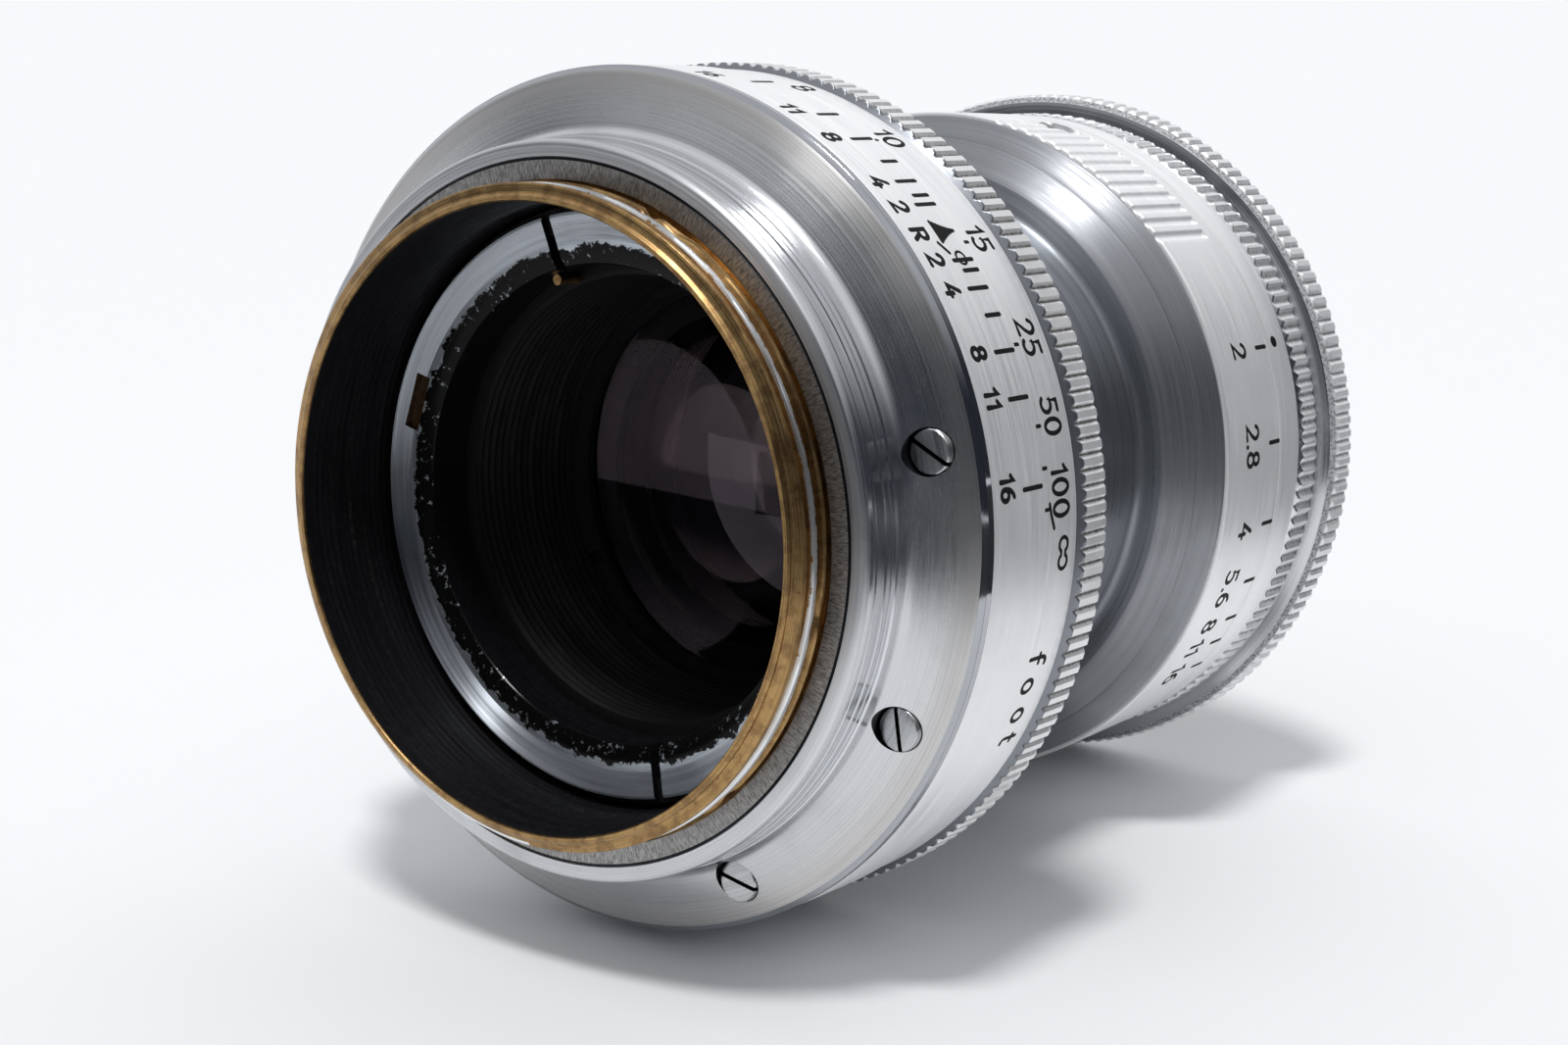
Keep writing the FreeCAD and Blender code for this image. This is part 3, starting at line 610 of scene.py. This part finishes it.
def screw(top, along, radius, deep):
    """Points and faces of a screw head that faces the camera body, with a rounded rim."""
    normal = Vector((0, 1, 0))
    side = normal.cross(along)
    sides = 48
    profile = [(radius, -deep), (radius, -0.16), (radius * 0.985, -0.07), (radius * 0.94, -0.015),
               (radius * 0.86, 0.0), (radius * 0.45, 0.008), (0.0, 0.01)]
    points, faces = [], []
    for r, h in profile:
        for k in range(sides):
            t = 2 * math.pi * k / sides
            points.append(Vector(top) + normal * h + (side * math.cos(t) + along * math.sin(t)) * r)
    for i in range(len(profile) - 1):
        for k in range(sides):
            n = (k + 1) % sides
            faces.append([i * sides + k, i * sides + n, (i + 1) * sides + n, (i + 1) * sides + k])
    faces.append(list(range(sides)))
    return points, faces


def flange_screws():
    heads, slots = [], []
    for angle, slot_angle in SCREWS:
        top = at(4.45, SCREW_CIRCLE, angle)
        along = at(0, 1, slot_angle)
        heads.append(screw(top, along, 1.3, 1.1))
        slots.append(block(top, (0, 1, 0), along, 0.26, 4.0, 0.5))
    piece = make_piece("flange_screw_heads", *joined(heads), materials=[steel, shadow_metal])
    cut(piece, slots, 30, 1)
    return place(piece, "mount", "bare_steel", "flange_screws")


def depth_scale_ring():
    outline = [(6.16, 24.3, 1), (6.16, 26.09, 0)] + rows((6.17, SCALE_R), (11.5, SCALE_R), 2)
    outline += [(11.54, 26.09, 0), (11.58, 26.04, 0), (11.58, 24.3, 0)]
    piece = turned("depth_scale_band", outline, [satin, shadow_metal], 360)
    return place(piece, "mount", "satin_chrome", "depth_scale_ring")


# --------------------------------------------------------------------- knurling

# Teeth round the ring, and the share of a tooth's pitch that its crest takes.
FOCUS_TEETH = (180, 0.46)
FINE_TEETH = (150, 0.22)
FRONT_TEETH = (160, 0.4)


def tooth_angles(teeth, share, steps=7):
    """Angles that follow every tooth's crest and flute."""
    pitch = 360.0 / teeth
    half = share / 2
    phases = [-half, half] + [half + (1 - share) * k / steps for k in range(1, steps)]
    return np.array([(tooth + phase) * pitch for tooth in range(teeth) for phase in phases])


def flutes(teeth, share, crest, depth, power):
    """A shape that cuts flutes in whatever reaches above them; power 1 gives straight sides."""
    def shape(s, r, angle):
        phase = angle / 360.0 * teeth
        across = np.abs(phase - np.round(phase))
        inner = np.clip((across - share / 2) / (0.5 - share / 2), 0.0, 1.0)
        floor = crest - depth * inner ** power
        return np.where(r > crest - depth, np.minimum(r, floor), r)
    return shape


def focus_ring():
    band = eased([(7.65, 22.05), (7.65, 24.0), (11.66, 24.0), (11.66, DISTANCE_R),
                  (15.34, DISTANCE_R), (15.38, 25.8)], 0.05)
    outline = band[:-4] + [(15.36, 25.86, 2), (15.4, 25.78, 2)]  # a groove takes the last corner's place
    outline += rows((15.42, 25.8), (15.84, FOCUS_GRIP_R), 9, 2)
    outline += rows((15.84, FOCUS_GRIP_R), (18.05, FOCUS_GRIP_R), 5, 1)
    outline += rows((18.05, FOCUS_GRIP_R), (18.28, 26.0), 5, 1)
    outline += [(18.28, 25.9, 1), (18.28, 24.95, 1), (17.65, 24.95, 1), (17.65, 23.5, 1)]
    outline += [(16.55, 23.5, 1), (16.55, 22.05, 1)]
    # The groove and the rear faces take the darkened neck chrome: painted shade.
    piece = turned("focus_ring_grip", outline, [satin, focus_grip, neck_metal_painted_shade],
                   tooth_angles(*FOCUS_TEETH), flutes(*FOCUS_TEETH, FOCUS_GRIP_R, 0.26, 0.9), 40)
    return place(piece, "focus", "satin_chrome", "focus_ring")


# --------------------------------------------------------------- barrel and head

def lens_barrel():
    outline = [(4.4, 16.6, 2), (4.4, NECK_R, 0)] + rows((4.45, NECK_R), (36.2, NECK_R), 10)
    outline += bow((36.2, NECK_R), (36.75, NECK_R), (36.8, 18.6), 6)
    outline += [(36.8, 18.6, 0), (36.8, 19.6, 0), (36.86, 19.75, 1), (37.0, 20.0, 1)]
    outline += rows((37.0, 20.0), (38.28, 21.48), 4, 1) + [(38.28, 21.48, 1), (38.36, 21.5, 1)]
    outline += rows((38.4, 21.6), (39.48, 22.83), 4, 1) + [(39.5, 22.85, 1), (39.68, 22.9, 1)]
    outline += [(39.7, 22.85, 1), (39.7, 20.6, 1), (50.9, 20.6, 1), (50.9, 18.8, 2), (47.3, 18.8, 2)]
    outline += [(47.3, 16.6, 2)]
    # The neck and its flare are chrome painted darker than the rest of the chrome: painted shade.
    piece = turned("barrel_neck", outline, [neck_metal_painted_shade, flare_metal_painted_shade, black], 320, None, 30)
    corners = ((17.2, -5), (19, -5), (19, 5), (17.2, 5))
    slots = [prism([at(15.2, r, start + a) for r, a in corners], Vector((0, -4.0, 0)))
             for start in (0, 180)]
    cut(piece, slots, 30)
    return place(piece, "head", "plated_chrome", "lens_barrel")


PATCHES = (11.0, 191.0)  # the first groove of each grip patch
GROOVES = 13
GROOVE_STEP = 3.0
DRIVE_SCREW = (45.7, 13.4)  # distance and angle of the screw in the grip patch


def aperture_shape(s, r, angle):
    """Cuts the two patches of grip grooves, each groove a part of a circle."""
    deep = np.zeros_like(r)
    for first in PATCHES:
        steps = (angle - first) / GROOVE_STEP
        number = np.clip(np.round(steps), 0, GROOVES - 1)
        away = np.abs(steps - number) * math.radians(GROOVE_STEP) * 23.1
        deep = np.maximum(deep, np.sqrt(np.clip(0.46 ** 2 - away ** 2, 0, None)) - 0.3)
    fade = np.clip((46.62 - s) / 0.05, 0.0, 1.0)
    return np.where(r > 22.5, r - np.clip(deep, 0, None) * fade, r)


def aperture_ring():
    fine = np.concatenate([np.arange(first - 1.2, first + 37.2, 0.25) for first in PATCHES])
    angles = np.unique(np.round(np.concatenate([fine, np.arange(0, 360, 1.25)]), 4))
    outline = [(39.76, 20.65), (39.76, 23.0), (39.82, 23.1), (39.9, 23.15)]
    outline += rows((40.0, APERTURE_R), (46.5, 22.99), 5) + rows((46.5, 22.99), (46.7, 22.985), 5)
    outline += [(47.5, 22.965), (47.55, 22.96), (47.58, 22.88), (47.64, 22.88), (47.67, 22.96)]
    outline += [(48.15, 22.95), (48.26, 22.93), (48.3, 22.86), (48.3, 20.65)]
    piece = turned("aperture_ring_band", outline, [satin], angles, aperture_shape, 35)
    distance, angle = DRIVE_SCREW
    cut(piece, [rod(at(distance, 21.8, angle), at(distance, 24.0, angle), 1.25)], 35)
    return place(piece, "aperture", "satin_chrome", "aperture_ring")


def index_ring():
    outline = eased([(48.36, 20.6), (48.36, INDEX_R), (50.72, INDEX_R), (50.89, 22.6), (50.89, 20.6)],
                    0.08)
    piece = turned("index_band", outline, [satin], 320)
    return place(piece, "head", "satin_chrome", "index_ring")


def grip_ring():
    outline = [(51.0, 21.0, 1), (51.0, 22.45, 1)] + rows((51.02, 22.5), (51.42, FINE_GRIP_R), 7, 1)
    outline += rows((51.42, FINE_GRIP_R), (53.4, FINE_GRIP_R), 4)
    outline += rows((53.4, FINE_GRIP_R), (53.6, 22.76), 4)
    outline += [(53.6, 22.7, 1), (53.6, 21.0, 1)]
    piece = turned("fine_grip", outline, [fine_grip, polished], tooth_angles(*FINE_TEETH),
                   flutes(*FINE_TEETH, FINE_GRIP_R, 0.24, 0.7), 40)
    return place(piece, "head", "plated_chrome", "grip_ring")


def front_ring():
    outline = [(50.95, 18.8, 3), (50.95, 21.0, 3), (53.7, 21.0, 3), (53.7, 23.75, 3)]
    outline += rows((53.72, 23.78), (54.16, FRONT_GRIP_R), 7, 1)
    outline += rows((54.16, FRONT_GRIP_R), (56.0, FRONT_GRIP_R), 4, 1)
    outline += rows((56.0, FRONT_GRIP_R), (56.4, 23.86), 6, 1)
    outline += [(56.4, 23.8, 0), (56.4, 22.0, 0), (56.05, 20.05, 0)]
    for groove in range(4):
        s = 55.95 - groove * 0.5
        outline += [(s, 20.0, 2), (s - 0.2, 20.28, 2), (s - 0.26, 20.28, 2), (s - 0.46, 20.0, 2)]
    outline += [(54.05, 20.0, 2), (54.05, 19.2, 2), (53.4, 19.2, 2), (53.4, 18.8, 2)]
    piece = turned("front_grip", outline, [satin, front_grip, ridge_black, polished],
                   tooth_angles(*FRONT_TEETH, 6), flutes(*FRONT_TEETH, FRONT_GRIP_R, 0.24, 0.8), 40)
    return place(piece, "head", "plated_chrome", "front_ring")


def front_bezel():
    outline = eased([(52.05, 14.6), (52.05, 18.75), (53.45, 18.75), (53.45, 19.15), (54.0, 19.15),
                     (54.0, 18.9), (52.75, 15.5), (52.4, 14.6)], 0.06)
    piece = turned("front_bezel_ring", outline, [ridge_black], 288)
    return place(piece, "head", "black_paint", "front_bezel")


# ---------------------------------------------------------------- rear interior

def rear_lock_ring():
    outline = [(4.2, 15.2, 1), (4.16, 15.6, 1), (4.12, 16.0, 0), (3.9, 17.5, 0), (3.95, 17.64, 0)]
    outline += [(4.05, 17.7, 0), (4.4, 17.7, 0), (4.4, 16.6, 0), (7.5, 16.6, 2), (7.5, 14.5, 2)]
    outline += [(4.56, 14.5, 1), (4.48, 14.56, 1)]
    piece = turned("rear_lock_ring_face", outline, [steel_face, flaked, ridge_black, stain], 288, None, 25)
    slots = [block(at(3.9, 16.2, a), (0, 1, 0), at(0, 1, a), 0.7, 6.0, 1.5) for a in (-16, 164)]
    cut(piece, slots, 25, 2)
    notches = [block(at(3.9, 16.15, a), (0, 1, 0), at(0, 1, a + 90), 1.0, 3.6, 0.5) for a in (-73, 107)]
    cut(piece, notches, 25, 3)
    return place(piece, "head", "bare_steel", "rear_lock_ring")


def rear_baffle():
    outline = [(7.55, 14.0), (7.55, 16.55), (16.1, 16.55), (16.1, 13.15)]
    ridges = 15
    for ridge in range(ridges):
        share = ridge / ridges
        s, r = 16.1 - 8.5 * share, 13.15 + 0.6 * share
        outline += [(s - 0.06, r), (s - 0.3, r + 0.25), (s - 0.36, r + 0.25), (s - 0.54, r + 0.02)]
    piece = turned("rear_baffle_ridges", outline, [deep_black], 256)
    return place(piece, "head", "black_paint", "rear_baffle")


def sag(curve, r):
    """How far a spherical face has fallen back at a radius; the curve's sign is its way."""
    return math.copysign(abs(curve) - math.sqrt(curve ** 2 - r ** 2), curve)


def lens_element(node, rear, rear_curve, front, front_curve, edge, rear_clear=None, front_clear=None):
    """A polished glass with fine spherical faces and a bevelled edge."""
    bevel = 0.15
    rear_r, front_r = rear_clear or edge - bevel, front_clear or edge - bevel
    steps = 24

    def face(top, curve, clear):
        return [(top - sag(curve, clear * k / steps), clear * k / steps) for k in range(steps + 1)]

    back, ahead = face(rear, rear_curve, rear_r), face(front, front_curve, front_r)
    outline = back + [(back[-1][0] + 0.02, edge), (ahead[-1][0] - 0.02, edge)] + ahead[::-1]
    piece = turned(node + "_glass", outline, [glass], 128, None, 30)
    return place(piece, "head", "coated_glass", node)


# ------------------------------------------------------------------------ marks

def curve(cx, cy, rx, ry, start, end, steps=14):
    """Points of an ellipse's arc; 0 degrees points right and 90 up."""
    return [
        (cx + rx * math.cos(math.radians(t)), cy + ry * math.sin(math.radians(t)))
        for t in np.linspace(start, end, steps)
    ]


# Each sign's width and strokes, for a height of 1; "~" is the sign for infinity.
GLYPHS = {
    "0": (0.50, [curve(0.25, 0.5, 0.25, 0.5, 90, 450, 28)]),
    "1": (0.22, [[(0.0, 0.80), (0.10, 0.87), (0.20, 1.0), (0.20, 0.0)]]),
    "2": (0.50, [curve(0.25, 0.72, 0.24, 0.28, 165, -20) + [(0.36, 0.42), (0.0, 0.0), (0.5, 0.0)]]),
    "3": (0.48, [curve(0.22, 0.76, 0.22, 0.24, 150, -90) + curve(0.20, 0.27, 0.27, 0.27, 90, -145)]),
    "4": (0.55, [[(0.36, 1.0), (0.0, 0.28), (0.55, 0.28)], [(0.40, 0.5), (0.40, 0.0)]]),
    "5": (0.48, [[(0.44, 1.0), (0.08, 1.0), (0.04, 0.56)] + curve(0.20, 0.31, 0.28, 0.31, 125, -140)]),
    "6": (0.50, [curve(0.52, 0.40, 0.50, 0.60, 108, 180, 10)[:-1]
                 + curve(0.25, 0.28, 0.24, 0.28, 165, 520, 24)]),
    "8": (0.50, [curve(0.25, 0.76, 0.21, 0.24, 270, 630, 22), curve(0.25, 0.26, 0.25, 0.26, 90, 450, 24)]),
    ".": (0.06, [[(0.03, 0.0), (0.03, 0.04)]]),
    "R": (0.52, [[(0.0, 0.0), (0.0, 1.0), (0.26, 1.0)] + curve(0.26, 0.74, 0.24, 0.26, 80, -90, 10)
                 + [(0.0, 0.48)], [(0.24, 0.48), (0.50, 0.0)]]),
    "f": (0.40, [[(0.14, 0.0), (0.14, 0.72)] + curve(0.34, 0.74, 0.20, 0.26, 180, 70, 8),
                 [(0.0, 0.58), (0.34, 0.58)]]),
    "o": (0.44, [curve(0.22, 0.30, 0.22, 0.28, 90, 450, 22)]),
    "t": (0.38, [[(0.14, 0.95), (0.14, 0.18)] + curve(0.30, 0.18, 0.16, 0.18, 180, 300, 7),
                 [(0.0, 0.66), (0.34, 0.66)]]),
    "~": (1.30, [curve(0.30, 0.5, 0.30, 0.32, 30, 330, 20) + curve(1.0, 0.5, 0.30, 0.32, 210, 510, 20)
                 + [(0.56, 0.66)]]),
}


class Marks:
    """Engraved and painted strokes wrapped on a ring, as one mesh. taper is its fall per mm."""

    # A stroke's section: share of its half width, and height above the ring in millimetres.
    SECTION = ((-1.0, -0.03), (-1.0, 0.004), (-0.55, 0.008), (0.55, 0.008), (1.0, 0.004), (1.0, -0.03))

    def __init__(self, radius, taper=0.0, start=0.0):
        self.radius, self.taper, self.start = radius, taper, start
        self.points, self.faces = [], []

    def stroke(self, line, width):
        """A stroke with round ends through flat (x, s) points, x along the ring, in millimetres."""
        line = np.array(line, float)
        keep = np.concatenate([[True], np.hypot(*np.diff(line, axis=0).T) > 1e-4])
        line = line[keep]
        step = np.diff(line, axis=0)
        step /= np.hypot(*step.T)[:, None]
        ahead = np.vstack([step, step[-1:]])
        behind = np.vstack([step[:1], step])
        along = ahead + behind
        along /= np.maximum(np.hypot(*along.T)[:, None], 1e-6)
        lean = np.clip((along * ahead).sum(1), 0.55, 1.0)
        half = width / 2
        stations = []
        for t in (80, 60, 40, 20):
            turn = math.radians(t)
            stations.append((line[0] - step[0] * half * math.sin(turn), step[0], half * math.cos(turn)))
        for spot, way, tight in zip(line, along, lean):
            stations.append((spot, way, half / tight))
        for t in (20, 40, 60, 80):
            turn = math.radians(t)
            stations.append((line[-1] + step[-1] * half * math.sin(turn), step[-1], half * math.cos(turn)))
        base = len(self.points)
        for spot, way, wide in stations:
            side = np.array([-way[1], way[0]])
            for across, lift in self.SECTION:
                x, s = spot + side * across * wide
                surface = self.radius - self.taper * (s - self.start)
                self.points.append(at(s, surface + lift, math.degrees(x / self.radius)))
        count = len(self.SECTION)
        for i in range(len(stations) - 1):
            for k in range(count):
                n = (k + 1) % count
                a, b = base + i * count, base + (i + 1) * count
                self.faces.append([a + k, a + n, b + n, b + k])
        last = base + (len(stations) - 1) * count
        self.faces += [list(range(base, base + count)), list(range(last, last + count))]

    def text(self, word, angle, s, height, width, gap=0.24):
        """A word centred at an angle; its letters' tops point to the lens front."""
        total = sum(GLYPHS[c][0] for c in word) + gap * (len(word) - 1)
        pen = -total / 2
        centre = math.radians(angle) * self.radius
        for letter in word:
            wide, strokes = GLYPHS[letter]
            for line in strokes:
                self.stroke([(centre + (pen + x) * height, s + (y - 0.5) * height) for x, y in line],
                            width)
            pen += wide + gap

    def tick(self, angle, s_from, s_to, width):
        x = math.radians(angle) * self.radius
        self.stroke([(x, s_from), (x, (s_from + s_to) / 2), (x, s_to)], width)

    def made(self, name, body, slot):
        piece = make_piece(name, self.points, self.faces, [marks_black], sharp=50)
        return place(piece, body, slot)


def depth_marks():
    marks = Marks(SCALE_R)
    index, tick_end, foot = 47.7, 11.28, 9.42
    for angle in (4.4, 8.5, 17.1, 23.2, 34.5):
        for way in (-1, 1):
            marks.tick(index + way * angle * 0.985, foot, tick_end, 0.28)
    for angle in (5.85, 12.1):
        for way in (-1, 1):
            marks.tick(index + way * angle, 9.9, tick_end, 0.28)
    words = ((9.5, "16"), (23.2, "11"), (30.3, "8"), (39.3, "4"), (43.5, "2"), (47.9, "R"), (51.7, "2"),
             (56.0, "4"), (64.4, "8"), (70.1, "11"), (81.1, "16"))
    for angle, word in words:
        marks.text(word, angle, 7.75, 1.32, 0.31, 0.30)
    # The index arrow with its hollow sides, filled with strokes and edged.
    x, wide = math.radians(index) * SCALE_R, 0.72
    for k in range(9):
        s = foot + k * 0.22
        half = wide * (1 - k / 8.6) ** 1.5
        marks.stroke([(x - half, s), (x, s), (x + half, s)], 0.24)
    for side in (-1, 1):
        edge = [(x + side * wide * (1 - t) ** 1.5, foot + t * 1.85) for t in np.linspace(0, 0.97, 12)]
        marks.stroke(edge, 0.16)
    # The small ring and slanted stroke beside it.
    ring = math.radians(51.75) * SCALE_R
    marks.stroke(curve(ring, 10.3, 0.42, 0.42, 0, 360, 26), 0.17)
    slant = math.radians(50.15) * SCALE_R
    marks.stroke([(slant - 0.36, 8.95), (slant, 9.2), (slant + 0.34, 9.44)], 0.26)
    return marks.made("depth_marks", "mount", "black_paint")


def distance_marks():
    marks = Marks(DISTANCE_R)
    words = ((15.2, "8"), (30.3, "10"), (48.9, "15"), (63.1, "25"), (73.4, "50"), (82.9, "100"),
             (-8.1, "6"), (-28.1, "5"), (-59.0, "4"), (-81.9, "3.5"))
    for angle, word in words:
        marks.text(word, angle, 13.65, 1.64, 0.28, 0.25)
    for angle in (15.4, 30.6, 49.3, 63.85, 74.4, 79.7, 84.9, -8.1, -28.1, -59.0, -81.9):
        marks.tick(angle, 11.76, 12.28, 0.23)
    marks.text("~", 90.9, 13.95, 1.42, 0.24)
    leader = [(math.radians(a) * DISTANCE_R, s) for a, s in ((84.3, 12.4), (85.8, 12.56), (87.4, 12.84))]
    marks.stroke(leader, 0.26)
    letters = (("f", 104.9, 13.2, 1.75), ("o", 108.7, 13.35, 1.9), ("o", 113.2, 13.6, 1.9),
               ("t", 117.1, 13.6, 1.5))
    for letter, angle, s, height in letters:
        marks.text(letter, angle, s, height, 0.28)
    return marks.made("distance_marks", "focus", "black_paint")


def aperture_marks():
    marks = Marks(APERTURE_R, 0.02415, 40.0)
    words = ((68.7, "2"), (84.6, "2.8"), (98.9, "4"), (109.4, "5.6"), (117.0, "8"), (121.8, "11"),
             (128.2, "16"))
    for angle, word in words:
        marks.text(word, angle, 43.4, 1.72, 0.3)
    for angle in (68.6, 84.7, 98.6, 109.3, 116.9, 122.2, 128.0):
        marks.tick(angle, 46.02, 47.4, 0.3)
    return marks.made("aperture_marks", "aperture", "black_paint")


def index_dot():
    marks = Marks(INDEX_R)
    x = math.radians(68.0) * INDEX_R
    for ring in (0.08, 0.2, 0.3):
        marks.stroke(curve(x, 49.1, ring, ring, 0, 360, 20), 0.2)
    return marks.made("aperture_index_dot", "head", "black_paint")


mount_collar()
mount_flange()
flange_screws()
depth_scale_ring()
focus_ring()
lens_barrel()
aperture_ring()
index_ring()
grip_ring()
front_ring()
front_bezel()
rear_lock_ring()
rear_baffle()
# Each glass: its rear vertex and curve, its front vertex and curve, and its edge's radius.
lens_element("front_element", 46.1, 90.0, 50.3, 31.0, 14.2)
lens_element("front_doublet_crown", 40.6, 70.0, 45.4, 19.5, 12.2)
lens_element("front_doublet_flint", 39.2, 15.0, 40.57, 70.0, 12.2, rear_clear=8.6)
lens_element("rear_doublet_flint", 26.0, 90.0, 27.6, -13.5, 10.6, front_clear=8.2)
lens_element("rear_doublet_crown", 21.0, -18.0, 25.97, 90.0, 10.6)
lens_element("rear_element", 16.0, -45.0, 20.2, 60.0, 13.0)
depth_marks()
distance_marks()
aperture_marks()
index_dot()


# -------------------------------------------------------------- floor and lights

# The lens lies on the front ring and the focus grip, so the floor slopes in the lens's frame.
up = Vector((0.0, 0.0514, 0.9987)).normalized()
floor_point = Vector((0.0, -18.05, -26.32)) * MM
ahead = Vector((0.0, 1.0, 0.0)) - up * up.y
ahead.normalize()
right = ahead.cross(up)


def stage_material(name, shade):
    """Matt paper with hardly any cloud in it."""
    f = Finish(name, Roughness=0.75, Specular_IOR_Level=0.2)
    spot = f.add("TexCoord").outputs["Object"]
    cloud = f.noise(spot, 3.0, 2.0)
    f.put(f.shader.inputs["Base Color"], f.mix(cloud, tuple(0.985 * c for c in shade), shade))
    return f.material


def stage_piece(name, points, faces, material):
    """An object of the stage, from points in metres."""
    mesh = bpy.data.meshes.new(name)
    mesh.from_pydata(points, [], faces)
    mesh.materials.append(material)
    made = bpy.data.objects.new(name, mesh)
    bpy.context.scene.collection.objects.link(made)
    return made


FLOOR_REACH = 3.0
corners = [floor_point + (right * x + ahead * y) * FLOOR_REACH
           for x, y in ((-1, -1), (1, -1), (1, 1), (-1, 1))]
floor = stage_piece("floor", corners, [(0, 1, 2, 3)], stage_material("floor_paper", (0.86, 0.865, 0.875)))


def key_light(way, angle, strength):
    """A soft light far away, towards a direction; angle is its size in degrees."""
    light = bpy.data.lights.new("key", "SUN")
    light.energy = strength
    light.angle = math.radians(angle)
    lamp = bpy.data.objects.new("key", light)
    lamp.rotation_mode = "QUATERNION"
    lamp.rotation_quaternion = (-Vector(way)).to_track_quat("-Z", "Y")
    bpy.context.scene.collection.objects.link(lamp)


key_light((-0.12, 0.35, 0.93), 10.0, 1.6)


def dark_table():
    """The dark table beyond the paper, which only the metal's reflections can see."""
    points, faces = [], []
    headings = np.radians(np.arange(60, 251, 5))
    for heading in headings:
        way = right * math.cos(heading) + ahead * math.sin(heading)
        near = 0.12 if heading < math.pi else 0.085
        for reach in (near, 0.15, 1.2):
            points.append(floor_point + way * reach + up * 0.0005)
    for i in range(len(headings) - 1):
        for k in (0, 1):
            faces.append((3 * i + k, 3 * i + k + 1, 3 * i + k + 4, 3 * i + k + 3))
    table = stage_piece("dark_table", points, faces, stage_material("table_top", (0.02, 0.022, 0.026)))
    for rays in ("camera", "diffuse", "shadow", "transmission"):
        setattr(table, "visible_" + rays, False)


dark_table()


def studio_world():
    """A white studio that is dim towards -X and +Y at the height of the lens, in reflections."""
    world = bpy.data.worlds.new("studio")
    bpy.context.scene.world = world
    world.use_nodes = True
    tree = world.node_tree
    background = tree.nodes["Background"]

    def add(kind, inputs=(), **settings):
        return add_node(tree, kind, inputs, settings)

    way = add("TexCoord").outputs["Generated"]
    facing = add("VectorMath", {0: way, 1: (-0.75, 0.66, 0.0)}, operation="DOT_PRODUCT").outputs["Value"]
    height = add("SeparateXYZ", {0: way}).outputs[2]

    def ramp(value, low, high, first, last):
        inputs = {"Value": value, "From Min": low, "From Max": high, "To Min": first, "To Max": last}
        return add("MapRange", inputs, interpolation_type="SMOOTHSTEP").outputs[0]

    dim = add("Math", {0: ramp(facing, -0.62, -0.25, 0.0, 1.0), 1: ramp(height, 0.30, 0.75, 1.0, 0.0)},
              operation="MULTIPLY").outputs[0]
    seen = add("LightPath").outputs["Is Camera Ray"]
    shade = add("Mix", {0: dim, 6: (0.78, 0.79, 0.81, 1.0), 7: (0.035, 0.04, 0.05, 1.0)}, data_type="RGBA")
    plain = add("Mix", {0: seen, 6: shade.outputs[2], 7: (0.915, 0.925, 0.935, 1.0)}, data_type="RGBA")
    feed(tree, background.inputs["Color"], plain.outputs[2])
    background.inputs["Strength"].default_value = 1.0


studio_world()

# The camera that was fitted to the photograph.
CAMERA_AT = (-99.29, 113.36, 28.36)
CAMERA_AXES = ((-0.8032, -0.5949, 0.0306), (0.1344, -0.1309, 0.9822), (-0.5803, 0.7931, 0.1851))
camera_data = bpy.data.cameras.new("camera")
camera_data.lens = 60.0
camera_data.sensor_width = 36.0
camera_data.clip_start = 0.005
camera_data.dof.use_dof = False
camera = bpy.data.objects.new("camera", camera_data)
turn = Matrix(CAMERA_AXES).transposed().to_quaternion().to_matrix().to_4x4()
camera.matrix_world = Matrix.Translation(Vector(CAMERA_AT) * MM) @ turn
bpy.context.scene.collection.objects.link(camera)
bpy.context.scene.camera = camera
bpy.context.scene.view_settings.view_transform = "Standard"
